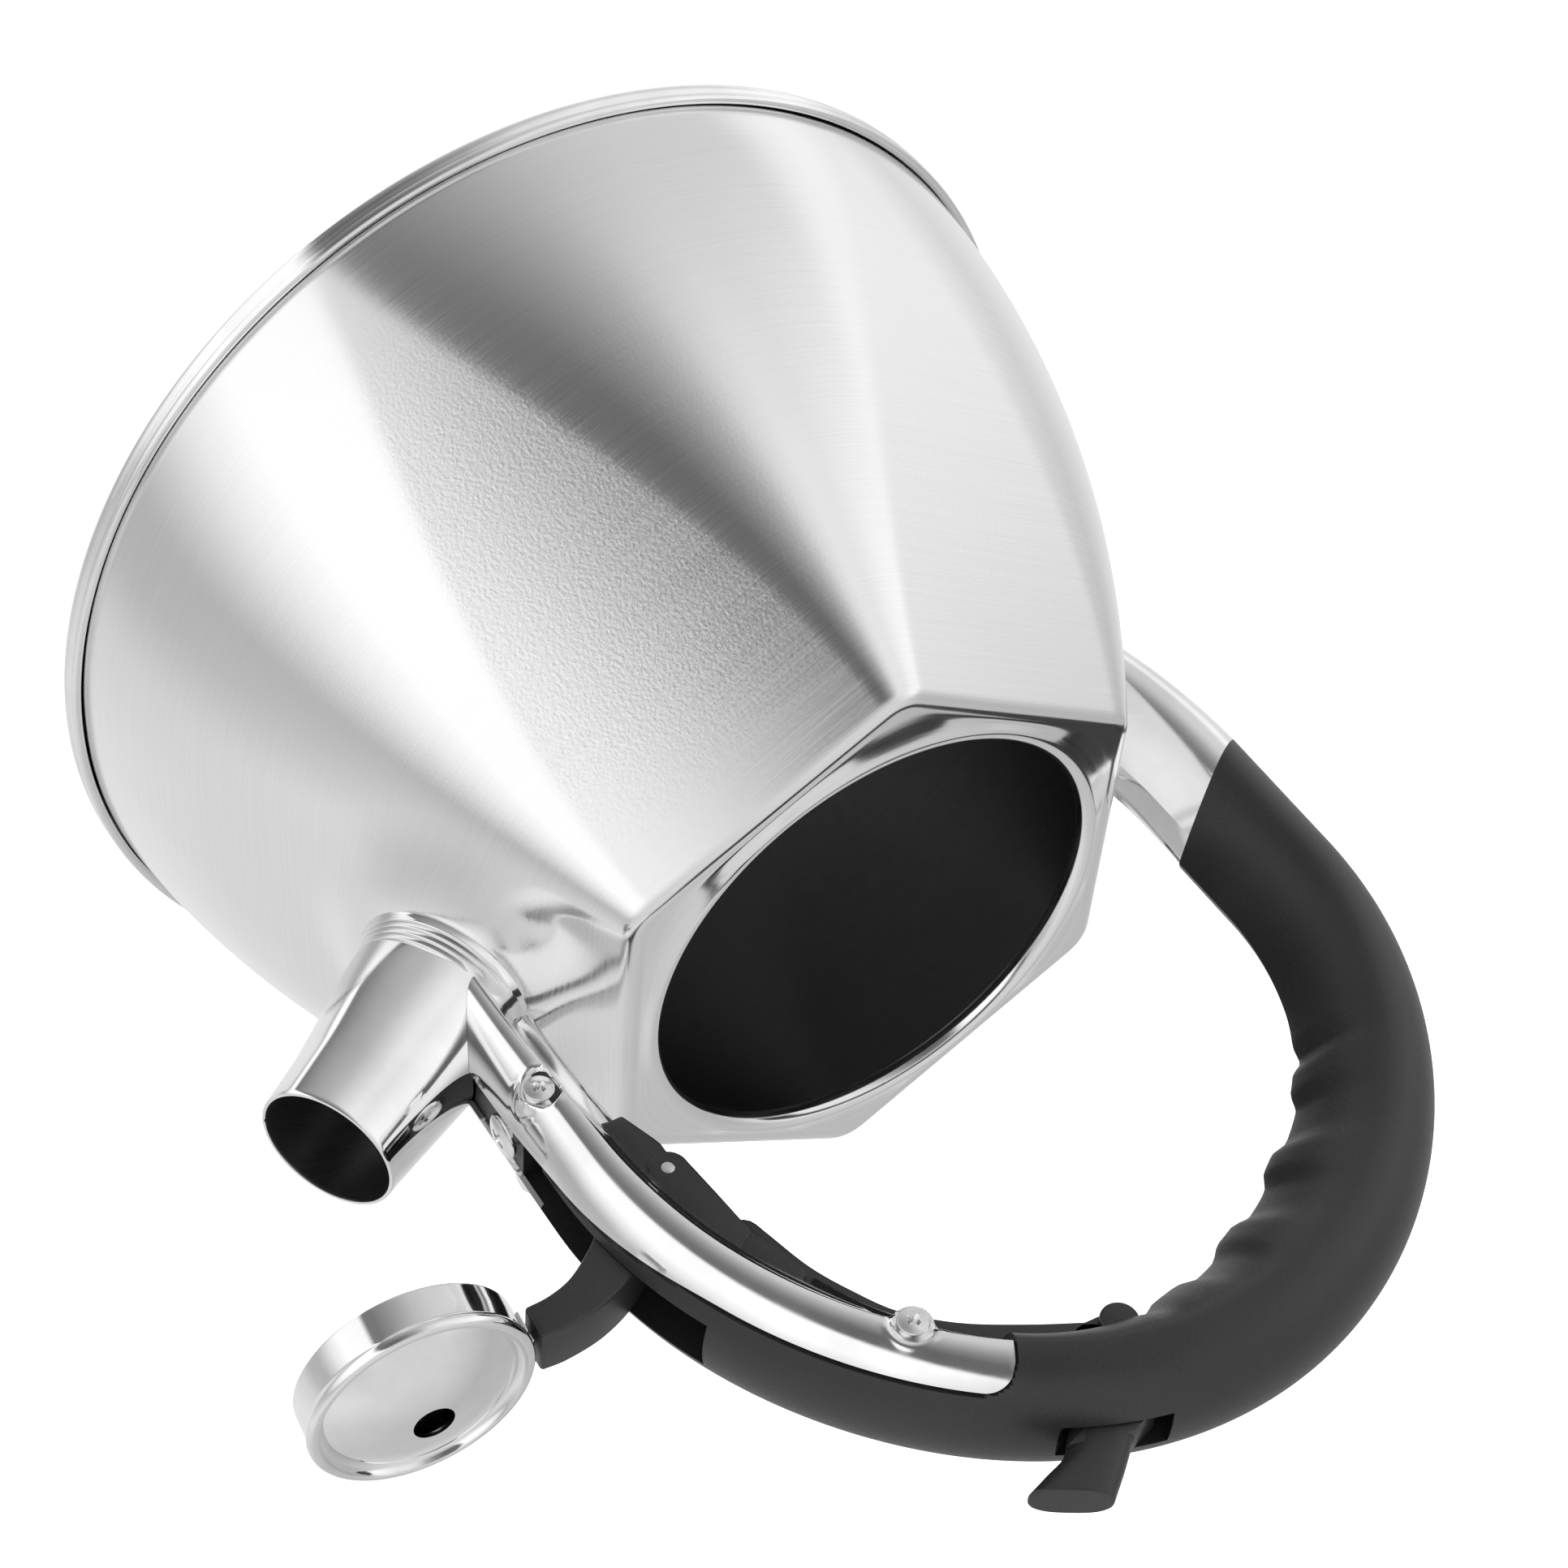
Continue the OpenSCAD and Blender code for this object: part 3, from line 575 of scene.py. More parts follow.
def build_body():
    columns = 432
    def rows(inset):
        wall = [wall_row(z, inset) for z in spread(WALL_FOOT_Z, SHOULDER_Z, 84)]
        shoulder = [shoulder_row(turn, inset) for turn in spread(TOP_SLOPE, 90, 9)[1:]]
        plate = [plate_row(t, inset) for t in spread(0, 1, 9)[1:]]
        lip = [lip_row(turn, inset) for turn in spread(0, 120, 9)[1:]]
        return [[press_round_spout(p) for p in skin_ring(row, columns)]
                for row in wall + shoulder + plate + lip]
    outer, inner = rows(0), rows(SHEET)
    body = grid_piece("kettle_body", outer + inner[::-1] + outer[:1])
    weld(body, 0.02)
    cut(body, lathe("bore", [(0, -12), (14.5, -12), (14.5, 12), (0, 12)], 96, on_spout))
    finish(body, "kettle", ["body_shell"], [BODY_STEEL, INSIDE_STEEL_PAINTED_SHADE], 50)
    # Faces inside the kettle take the second, darker steel, whose low tone is painted shade.
    for face in body.data.polygons:
        middle, out = face.center, face.normal
        radial = Vector((middle.x, middle.y, 0)).normalized()
        inside = out.dot(radial) < -0.2 or (out.z < -0.3 and middle.z > 0.09)
        beyond_lip = middle.z > (TOP_Z - 3) * MM
        face.material_index = 1 if inside and not beyond_lip else 0
    return body


def build_base():
    ring = ([(0, 3.0), (101.6, 3.0), (102.2, 1.4)] + arc(103.57, 2.4, 1.4, -140, 58, 14)
            + [(104.05, 3.95)] + arc(103.9, 5.0, 1.0, -48, 150, 12)
            + [(102.95, 5.2), (102.9, 4.0), (0, 4.0)])
    pan = lathe("base_ring", ring, 360)
    finish(pan, "kettle", ["base_pan"], [POLISHED, INSIDE_STEEL_PAINTED_SHADE], 40)
    for face in pan.data.polygons:
        if face.normal.z > 0.9 and face.center.z < 4.1 * MM:
            face.material_index = 1
    disc = [(0, 0.35), (24, 0.35), (25, 0.05), (60, 0.05), (61, 0.3), (63, 0.3), (64, 0.05)]
    disc += arc(90.8, 1.2, 1.2, -90, 0, 6) + [(92, 3.0), (90.9, 3.0), (90.9, 0.62), (0, 0.62)]
    cover = lathe("base_disc", disc, 256)
    finish(cover, "kettle", ["base_cover"], BODY_STEEL)


def build_spout():
    clocks = spread(0, 360, 288)[:-1]
    def ring(s, inset):
        return [on_spout(spout_radius(t, s, inset) * cosd(t), spout_radius(t, s, inset) * sind(t), s)
                for t in clocks]
    outer = spread(-1.5, SPOUT_L - 0.3, 92)
    rows = [ring(s, 0) for s in outer] + [ring(SPOUT_L, 0.12), ring(SPOUT_L, SPOUT_WALL - 0.12)]
    rows += [ring(s, SPOUT_WALL) for s in outer[::-1]]
    spout = grid_piece("spout", rows + rows[:1])
    weld(spout)
    axis = Vector((cosd(SPOUT_SLOPE), 0, sind(SPOUT_SLOPE)))
    foot = Vector(SPOUT_FOOT) * MM
    finish(spout, "kettle", ["spout_tube"], [POLISHED, SPOUT_INSIDE], 40)
    seam_half = 0.35 * MM
    for vertex in spout.data.vertices:        # the butt-welded seam along the underside
        local = vertex.co - foot
        along = local.dot(axis)
        out = local - axis * along
        skin = SPOUT_ROOT_R - SPOUT_TAPER * along / MM
        if abs(out.y) < seam_half and out.z < 0 and out.length < (skin - 0.3) * MM:
            vertex.co += out.normalized() * 0.2 * MM
    for face in spout.data.polygons:
        local = face.center - foot
        out = local - axis * local.dot(axis)
        if face.normal.dot(out) < 0 and abs(face.normal.dot(axis)) < 0.5:
            face.material_index = 1
    steps = [(13.5, 2), (NECK_R + 0.9, 2), (NECK_R + 0.35, NECK_L - 1.35)]
    for i in range(4):
        r, top = NECK_R - 0.3 * i, NECK_L + 1.25 * i
        steps += arc(r - 0.3, top - 0.3, 0.3, -10, 90, 6) + [(r - 0.45, top - 0.12)]
    steps.append((13.5, NECK_L + 3.5))
    collar = lathe("spout_collar_rings", steps, 240,
                   lambda x, y, z: on_spout(x + NECK_SHIFT, y, z))
    cut(collar, spout_tool(-0.05))
    finish(collar, "kettle", ["spout_collar"], POLISHED, 50)


# ---- handle arch: q is the angle round it, and runs on as millimetres down each leg --------
ARCH_Z, ARCH_R, ARCH_RISE, ARCH_LEAN = 145, 82.2, 4.9, 1.4
GRIP_W, CROWN_H, NOSE_W, NOSE_H = 13.5, 10, 4.2, 3
KNEE_Z, KNEE_R = 118, 120
STEEL, STEEL_GAP = 0.9, 0.02
BRACKET_END = 62
FRONT_Q, REAR_Q = -46, 258
DEPTHS = [(-50, 16.5), (-20, 17.5), (-8, 18.3), (15, 20.8), (33, 21.3), (40, 20), (65, 18.4),
          (80, 20.5), (88, 23.4), (104, 26.2), (121, 26.6), (139, 24.6), (150, 23.6), (240, 25.5)]
STEEL_EDGE = [(-30, 72), (-15, 70), (4, 60), (24, 47)]
LOBES = (88.5, 104, 121, 139)        # middles of the ridges between the fingers
LOBE_HALF = 5.2


def station(q):
    """x and z of the crown line, and the angle of its outward normal."""
    if q < 0:
        return ARCH_R - ARCH_LEAN, ARCH_Z + q, 0
    if q > 180:
        z = ARCH_Z - (q - 180)
        x = -ARCH_R - ARCH_LEAN - 0.6 * min(1, (ARCH_Z - z) / (ARCH_Z - KNEE_Z))
        if z < KNEE_Z:
            x += (KNEE_Z - z) ** 2 / (2 * KNEE_R)
            return x, z, 180 + math.degrees(math.atan((KNEE_Z - z) / KNEE_R))
        return x, z, 180
    r = ARCH_R + ARCH_RISE * sind(q) ** 4 - ARCH_LEAN * cosd(q)
    return r * cosd(q), ARCH_Z + r * sind(q), q


def at(q, s, y):
    x, z, turn = station(q)
    return (x + s * cosd(turn), y, z + s * sind(turn))


def finger(q):
    """How far the inner edge of the grip is hollowed out for the fingers."""
    if q < LOBES[0] - 9 or q > LOBES[-1] + 9:
        return 0
    near = min(abs(q - lobe) for lobe in LOBES)
    hollow = smooth((near - LOBE_HALF * 0.35) / (LOBE_HALF * 0.75))
    end = min(q - (LOBES[0] - 9), LOBES[-1] + 9 - q)
    return 1.5 * hollow * smooth(end / 5)


def depth(q):
    return soft_table(q, DEPTHS) - finger(q)


def crown(q):
    return soft_table(q, [(-30, 7.5), (10, CROWN_H)])


def nose_height(q):
    return soft_table(q, [(-12, 4.2), (-4, NOSE_H)], 2)


def steel_edge(q):
    """Where the bracket's outer edge lies on the crown; the far end's corner is rounded off."""
    edge = soft_table(q, STEEL_EDGE, 3)
    end = BRACKET_END - q
    if end >= 3.6:
        return edge
    return edge * (0.42 + 0.58 * math.sqrt(max(0, 1 - (1 - max(0, end) / 3.6) ** 2)))


def bent_flank(u, k=0.07):
    """0 at the widest line and 1 at the nose: straight but for a tight bend at the start."""
    return (math.sqrt(u * u + k * k) - k) / (math.sqrt(1 + k * k) - k)


def flank_points(q, inset, count):
    """Inner half of one flank of the bracket's section, from the widest line to the nose."""
    c, w, d = crown(q), GRIP_W - inset, depth(q) - inset
    high = nose_height(q)
    nw, run = NOSE_W - inset * 0.6, d - c - high
    out = [(-c - run * u, w - (w - nw) * bent_flank(u)) for u in spread(0, 1, count)]
    out += [(-(d - high) - high * sind(a), nw * cosd(a)) for a in (20, 40, 60, 75)]
    return out


def egg_points(q, count):
    """Inner half of one flank of the bare grip's section, smooth down to the nose."""
    c, d = crown(q), depth(q)
    return [(-c - (d - c) * v, GRIP_W * max(0, 1 - v ** 1.6) ** 0.85)
            for v in [smooth(u) * 0.5 + u * 0.5 for u in spread(0, 1, count)[:-1]]]


def grip_ring(q):
    """A closed section of the nylon: full size behind the bracket, drawn in under it."""
    c = crown(q)
    under = q <= BRACKET_END + 0.3
    edge = steel_edge(q)
    half = []
    for a in spread(90, 0, 30)[1:-1]:
        inset = STEEL + STEEL_GAP if under and a < edge + 1.2 else 0
        half.append((-c + (c - inset) * sind(a), (GRIP_W - inset) * cosd(a)))
    half += flank_points(q, STEEL + STEEL_GAP, 19) if under else egg_points(q, 24)
    d = depth(q) - (STEEL + STEEL_GAP if under else 0)
    line = [(0.0, 0.0)] + half + [(-d, 0.0)] + [(s, -y) for s, y in half[::-1]]
    return [at(q, s, y) for s, y in line]


GRIP_TAIL, GRIP_TAIL_SLOPE = (-84.8, 115.5), 33
BRACKET_HEEL, BRACKET_FOOT_SLOPE = (65.8, 106), -22
WEB_TOP = 136                        # the bracket is closed round its inner edge below this
GUARD_FROM, GUARD_TO = -8.5, 33      # nylon walls stand between its flanks from here to here
LUG_W = 5.2
SCREW_LOW, SEAT_LOW = (75, 130.2), 12
SCREW_HIGH, SEAT_HIGH = (46.6, 199.9), 12.8
SEAT_R = 3.5
NOSE_SEAT = (79.4, 127.5)
SLOT_W, TAB_SLOT_W, LINK_SLOT_W, HUB_SLOT_W, KNUCKLE_SLOT_W = 5.35, 3.9, 3.2, 3.3, 4.8
ARM_AT, TRIGGER_AT, LINK_AT = (61.5, 150), (15, 221), (12.8, 211)
CRANK_AT = (ARM_AT[0] + 4.5 * cosd(20), ARM_AT[1] + 4.5 * sind(20))
RIVET_AT = (92.4, 165.6)
PIN_R = 1.2


def in_plane(q, s):
    x, _, z = at(q, s, 0)
    return x, z


def strip(q0, q1, outer, inner):
    """Outline of a band along the handle, between two distances from its crown line."""
    return ([in_plane(q, outer) for q in spread(q0, q1, 30)]
            + [in_plane(q, inner) for q in spread(q1, q0, 30)])


def build_grip():
    qs = spread(FRONT_Q, BRACKET_END - 4, 70)[:-1] + spread(BRACKET_END - 4, BRACKET_END + 0.25, 14)
    qs += spread(BRACKET_END + 0.4, REAR_Q - 36, 128)
    grip = grid_piece("handle_grip", [grip_ring(q) for q in qs], True, True)
    slope = Vector((sind(GRIP_TAIL_SLOPE), 0, -cosd(GRIP_TAIL_SLOPE)))
    tail = [(GRIP_TAIL[0] + u * cosd(GRIP_TAIL_SLOPE) + v * slope.x,
             GRIP_TAIL[1] + u * sind(GRIP_TAIL_SLOPE) + v * slope.z)
            for u, v in ((-60, 0), (60, 0), (60, 60), (-60, 60))]
    foot = [(BRACKET_HEEL[0] + u * cosd(BRACKET_FOOT_SLOPE) + v * sind(BRACKET_FOOT_SLOPE),
             BRACKET_HEEL[1] + 3 + u * sind(BRACKET_FOOT_SLOPE) - v * cosd(BRACKET_FOOT_SLOPE))
            for u, v in ((-60, 0), (60, 0), (60, 60), (-60, 60))]
    arm_slot = [(70, 133), (95, 133), (95, 185), (76, 182), (64, 176.5), (67, 160), (72, 152)]
    hub_slot = [(50, 141), (76, 136), (76, 171), (50, 171)]
    recess = [(NOSE_SEAT[0], 100), (95, 100), (95, 133.1), (NOSE_SEAT[0], 133.1)]
    tab_pocket = rounded([(10.2, 222), (10.6, 226.4), (15.8, 229.6), (15.8, 240), (36.2, 240),
                          (35.8, 224.5), (18.6, 215.8), (14, 214)], 0.8)
    pivot_pocket = [(11, 200), (22, 200), (20, 222), (10, 222)]
    knuckle_pocket = [(8.2, 200), (21.6, 200), (21.6, 215.6), (8.2, 215.6)]
    cut(grip,
        prism("tail", tail, -30, 30), prism("foot", foot, -30, 30),
        prism("arm_slot", arm_slot, -SLOT_W, SLOT_W),
        prism("channel", strip(0, 78, -12.5, -40), -LINK_SLOT_W, LINK_SLOT_W),
        prism("hub_slot", hub_slot, -HUB_SLOT_W, HUB_SLOT_W),
        prism("recess", recess, -SLOT_W, SLOT_W),
        prism("tab_pocket", tab_pocket, -TAB_SLOT_W, TAB_SLOT_W),
        prism("pivot_pocket", pivot_pocket, -TAB_SLOT_W + 0.02, TAB_SLOT_W - 0.02),
        prism("knuckle_pocket", knuckle_pocket, -KNUCKLE_SLOT_W, KNUCKLE_SLOT_W),
        spout_tool(0.3))
    finish(grip, "kettle", ["grip"], GRIP_NYLON, 38)
    lugs = []
    outline = (arc(ARM_AT[0], ARM_AT[1], 3.6, 180, 325, 14)
               + through([(66.5, 154), (68, 160), (64, 172)], 5) + [(56, 168), (57, 158)])
    guard_qs = spread(GUARD_FROM, GUARD_TO, 30)
    guard = [in_plane(q, -12.5) for q in guard_qs]
    guard += [in_plane(q, -min(21, 19 + (GUARD_TO - q) / 4, 18.2 + (q - GUARD_FROM) * 0.35))
              for q in guard_qs[::-1]]
    for side in (-1, 1):
        low, high = sorted((side * HUB_SLOT_W, side * LUG_W))
        lugs.append(bevel(prism("lug", outline, low, high), 0.5, 3))
        low, high = sorted((side * (HUB_SLOT_W + 0.05), side * (LUG_W - 0.3)))
        lugs.append(bevel(prism("guard", guard, low, high), 0.45, 3))
    finish(merge("bearing_lugs", lugs), "kettle", [], LEVER_NYLON)


def seat_push(x, y, z):
    """Presses the bracket's flank in to a flat seat under each screw head, with a soft rim."""
    side = 1 if y > 0 else -1
    width = abs(y)
    for (sx, sz), level in ((SCREW_LOW, SEAT_LOW), (SCREW_HIGH, SEAT_HIGH)):
        r = math.hypot(x - sx, z - sz)
        if r > 8:
            continue
        hold = 1 - smooth((r - SEAT_R + 0.1) / 0.7)
        rim = 0.16 * math.exp(-((r - SEAT_R - 0.95) / 0.4) ** 2)
        width = lerp(width, level, hold) + rim
    return x, side * min(width, GRIP_W - 0.02), z


BEAD_FROM, BEAD_TO, BEAD_HALF, BEAD_RISE = -2, 43, 1.45, 0.42


def bead_rise(q, s):
    """Height of the long pressed bead on the inner half of each flank."""
    middle = -crown(q) - 3.6
    along = 0 if BEAD_FROM <= q <= BEAD_TO else min(abs(q - BEAD_FROM), abs(q - BEAD_TO)) * 1.35
    away = math.hypot(along, s - middle)
    return BEAD_RISE * (1 - smooth((away - BEAD_HALF + 0.45) / 0.7))


def bracket_half(q):
    c, edge = crown(q), steel_edge(q)
    outer = [(-c + c * sind(a), GRIP_W * cosd(a)) for a in spread(edge, 0, 26)[:-1]]
    return outer + flank_points(q, 0, 40)


def build_bracket():
    near_low = spread(-23, -7, 48)
    near_high = spread(44, BRACKET_END, 44)
    qs = spread(FRONT_Q, -23, 16)[:-1] + near_low + spread(-7, 44, 60)[1:-1] + near_high
    rows = []
    for q in qs:
        half = bracket_half(q)
        lift = [(s, y + bead_rise(q, s)) for s, y in half]
        line = lift + [(-depth(q), 0.0)] + [(s, -y) for s, y in lift[::-1]]
        rows.append([seat_push(*at(q, s, y)) for s, y in line])
    bracket = grid_piece("handle_bracket", rows, False)
    heel_out = (sind(BRACKET_FOOT_SLOPE), 0, -cosd(BRACKET_FOOT_SLOPE))
    slice_off(bracket, (BRACKET_HEEL[0], 0, BRACKET_HEEL[1]), heel_out)
    face_sideways_out(bracket)
    thicken(bracket, STEEL)
    cut(bracket,
        prism("web_window", strip(WEB_TOP - ARCH_Z, BRACKET_END + 6, -9, -40),
              -LINK_SLOT_W, LINK_SLOT_W),
        prism("wide_window", strip(WEB_TOP - ARCH_Z, GUARD_TO + 1, -9, -40),
              -LUG_W - 0.05, LUG_W + 0.05),
        spout_tool(0.05))
    finish(bracket, "kettle", ["front_bracket"], POLISHED_WAVY, 45)


def trim_rear_foot(piece):
    """Cuts a piece of the rear foot off at the grip's tail and at the kettle's wall."""
    slice_off(piece, (GRIP_TAIL[0], 0, GRIP_TAIL[1]),
              (-sind(GRIP_TAIL_SLOPE), 0, cosd(GRIP_TAIL_SLOPE)))
    hold_z = 101
    slope = wall_slope(hold_z)
    slice_off(piece, (-facet(hold_z) + 0.4, 0, hold_z), (cosd(slope), 0, -sind(slope)))


def build_ferrule():
    rows = []
    for q in spread(190, REAR_Q, 60):
        c, d = crown(q), depth(q)
        run = d - c - NOSE_H
        half = [(-c - run * u, NOSE_W + (GRIP_W - NOSE_W) * math.cos(math.pi / 2 * u))
                for u in spread(1, 0, 18)]
        half += [(-c + c * sind(a), GRIP_W * cosd(a)) for a in spread(0, 90, 20)[1:-1]]
        line = half + [(0.0, 0.0)] + [(s, -y) for s, y in half[::-1]]
        rows.append([at(q, s, y) for s, y in line])
    ferrule = grid_piece("rear_ferrule_shell", rows, False)
    trim_rear_foot(ferrule)
    face_sideways_out(ferrule)
    thicken(ferrule, STEEL)
    finish(ferrule, "kettle", ["rear_ferrule"], POLISHED_WAVY, 45)
    plate = prism("ferrule_inner_plate", strip(190, REAR_Q, -20.6, -21.4), -NOSE_W, NOSE_W)
    trim_rear_foot(plate)
    finish(bevel(plate, 0.15, 2), "kettle", ["ferrule_plate"], POLISHED)


# ---- fixings -------------------------------------------------------------------------------
def cross_screw(name, head_r, head_h, place):
    """A pan head with a cross recess, its axis along z, put in the frame by place."""
    profile = [(0.01, -3), (head_r * 0.45, -3), (head_r * 0.45, 0), (head_r, 0.0)]
    profile += arc(head_r - 0.35, head_h * 0.45, 0.35, 0, 55, 4)
    profile += [(head_r * lerp(0.86, 0.01, t),
                 head_h * (0.72 + 0.28 * math.cos(math.pi / 2 * (1 - t))))
                for t in spread(0, 1, 7)]
    head = lathe(name, profile, 72)
    arm = head_r * 0.52
    for turn in (20, 110):
        blade = rounded([(-arm, -0.46), (arm, -0.46), (arm, 0.46), (-arm, 0.46)], 0.15, 2)
        low = [(x * 0.35, y * 0.6, head_h * 0.2) for x, y in blade]
        high = [(x * 1.15, y * 1.15, head_h * 1.3) for x, y in blade]
        def spin(p):
            return (p[0] * cosd(turn) - p[1] * sind(turn),
                    p[0] * sind(turn) + p[1] * cosd(turn), p[2])
        tool = mesh_piece("cross", [spin(p) for p in low + high], prism_faces(len(blade)))
        face_out(tool)
        cut(head, tool)
    for vertex in head.data.vertices:
        vertex.co = Vector(place(*(vertex.co / MM))) * MM
    face_out(head)
    return head


def build_fixings():
    heads = []
    for (sx, sz), level in ((SCREW_LOW, SEAT_LOW), (SCREW_HIGH, SEAT_HIGH)):
        for side in (-1, 1):
            heads.append(cross_screw("head", 2.7, 1.2, lambda x, y, z, sx=sx, sz=sz, side=side,
                                     level=level: (sx + x, side * (level + z), sz + y)))
    finish(merge("bracket_screw_heads", heads), "kettle", ["bracket_screws"], SCREW_STEEL)
    nose = cross_screw("channel_screw_head", 4.15, 2.1,
                       lambda x, y, z: (NOSE_SEAT[0] + z, y, NOSE_SEAT[1] + x))
    finish(nose, "kettle", ["channel_screw"], SCREW_STEEL)


def pin_piece(name, at_point, r, half, node, body):
    pin = bevel(pin_shape(name, at_point, r, -half, half), 0.25, 3)
    return finish(pin, body, [node], PIN_STEEL)


# ---- whistle linkage -----------------------------------------------------------------------
def build_trigger():
    high_side = through([(19, 225.6), (22.6, 229), (27, 232.8), (31.3, 236.2)], 6)
    low_side = through([(31, 222.9), (34.6, 226.4), (39.2, 227.9), (43.1, 229.1)], 6)
    rows = []
    ends = [(high, low, 1, 0) for high, low in zip(high_side, low_side)]
    ends += [(high_side[-1], low_side[-1], 0.985, 0.2), (high_side[-1], low_side[-1], 0.93, 0.4)]
    for high, low, shrink, lift in ends:     # a flattened oval, wider towards the thumb
        middle = ((high[0] + low[0]) / 2 + lift * 0.525, (high[1] + low[1]) / 2 + lift * 0.851)
        half = ((low[0] - high[0]) / 2 * shrink, (low[1] - high[1]) / 2 * shrink)
        ring = []
        for a in spread(0, 360, 64)[:-1]:
            along = math.copysign(abs(cosd(a)) ** 0.72, cosd(a))
            across = math.copysign(abs(sind(a)) ** 0.72, sind(a)) * 3.5 * shrink
            ring.append((middle[0] + half[0] * along, across, middle[1] + half[1] * along))
        rows.append(ring)
    paddle = grid_piece("paddle", rows, True, True)
    root = [(11.9, 223.2), (16.5, 226.8), (22.6, 228.8), (33.6, 225.8), (26, 223.4), (18.6, 218.6)]
    root += arc(TRIGGER_AT[0], TRIGGER_AT[1], 4, -40, -215, 14)
    boss = bevel(prism("boss", root, -3.3, 3.3), 0.5, 2, 50)
    rocker = arc(LINK_AT[0], LINK_AT[1], 3.0, 180, 360, 16)
    rocker += [(TRIGGER_AT[0] + 3, TRIGGER_AT[1]), (TRIGGER_AT[0] - 3, TRIGGER_AT[1])]
    lever = bevel(prism("rocker", rocker, -1.6, 1.6), 0.3, 2)
    finish(merge("trigger_lever", [paddle, boss, lever]), "trigger", ["trigger"], LEVER_NYLON)


LINK_RUN = [(17.5, 211.2), (27.3, 206.2), (37.2, 200.2), (44.9, 193.1), (49.9, 185),
            (53.3, 177.7), (55.6, 169.5), (56.5, 166)]


def ribbon(points, r, caps=8):
    """Outline of a bar of half width r along a smooth line, with round ends."""
    line = [Vector(p) for p in through(points, 5)]
    left, right = [], []
    for i, p in enumerate(line):
        along = line[min(i + 1, len(line) - 1)] - line[max(i - 1, 0)]
        side = Vector((-along.y, along.x)).normalized() * r
        left.append(p + side)
        right.append(p - side)
    def cap(centre, start):
        base = math.atan2((start - centre).y, (start - centre).x)
        return [centre + Vector((math.cos(base - math.pi * k / caps),
                                 math.sin(base - math.pi * k / caps))) * r
                for k in range(1, caps)]
    out = left + cap(line[-1], left[-1]) + right[::-1] + cap(line[0], right[0])
    return [(p.x, p.y) for p in out]


def build_link():
    rod = bevel(prism("rod", ribbon(LINK_RUN, 3.1), -2.8, 2.8), 0.7, 3, 50)
    hook = bevel(prism("hook", ribbon([(56.5, 166), (60.6, 163), (64.2, 158.6), CRANK_AT], 1.9),
                       -1.1, 1.1), 0.25, 2, 50)
    knuckle = bevel(pin_shape("knuckle", LINK_AT, 3.3, -4.4, 4.4, 48), 0.5, 3)
    neck = bevel(prism("neck", ribbon([(14.5, 211), (18.5, 210.8)], 2.9), -2.8, 2.8), 0.4, 2, 50)
    add(knuckle, neck)
    gap = [(8, 206.5), (16.4, 206.8), (17.2, 211), (16.6, 215), (18, 222), (8, 222)]
    cut(knuckle, prism("fork", gap, -1.9, 1.9))
    finish(merge("link", [rod, hook, knuckle]), "link", ["link_rod"], LEVER_NYLON)


def build_arm():
    """A hub inside the handle with a curved, round-cornered arm out to the cap."""
    lower = through([(64.6, 147.6), (69.5, 148.6), (75.2, 152.2), (80, 156.8), (86, 160.9),
                     (91, 162.4), (95.6, 162.6)], 6)
    upper = through([(95.8, 168.9), (91, 169.2), (84, 168.3), (77, 165.6), (70, 160.8),
                     (64, 155.2)], 6)
    hub = bevel(pin_shape("hub", ARM_AT, 4.2, -3, 3, 48), 0.4, 3)
    web = bevel(prism("web", lower[:14] + upper[19:], -3, 3), 0.3, 2, 50)
    outer = bevel(prism("outer", lower[12:] + upper[:23], -5, 5), 1.1, 4, 50)
    crank = bevel(pin_shape("crank", CRANK_AT, 2.6, -3, 3, 32), 0.3, 2)
    add(hub, web, outer, crank)
    slot_tool = prism("crank_slot", arc(ARM_AT[0], ARM_AT[1], 10.6, 0, 354, 59), -1.4, 1.4)
    ear_tool = prism("ear_slot", [(88.6, 163.6), (98.6, 162.9), (98.4, 166.1), (88.6, 167.4)],
                     -0.62, 0.62)
    cut(hub, slot_tool, ear_tool)
    hub.name = "whistle_lever"
    finish(hub, "whistle", ["whistle_arm"], LEVER_NYLON)


CAP_TILT, CAP_AT, CAP_R = 85, (116, 166.5), 18.8
CAP_SKIRT, CAP_DOME, SOUND_R, CAP_SHEET = 7.1, 5.7, 3.5, 0.8


def on_cap(x, y, z):
    c, s = sind(CAP_TILT), cosd(CAP_TILT)
    return (CAP_AT[0] + x * c + z * s, y, CAP_AT[1] - x * s + z * c)


def dome_height(r):
    """The cap's face: a dished border just inside the bead, then a shallow dome."""
    base = 16.6
    big = (base ** 2 + (CAP_DOME - 0.2) ** 2) / (2 * (CAP_DOME - 0.2))
    if r < base:
        return 0.1 + CAP_DOME - 0.2 - big + math.sqrt(big * big - r * r)
    return 0.1 + 0.9 * smooth((r - base) / 1.6)


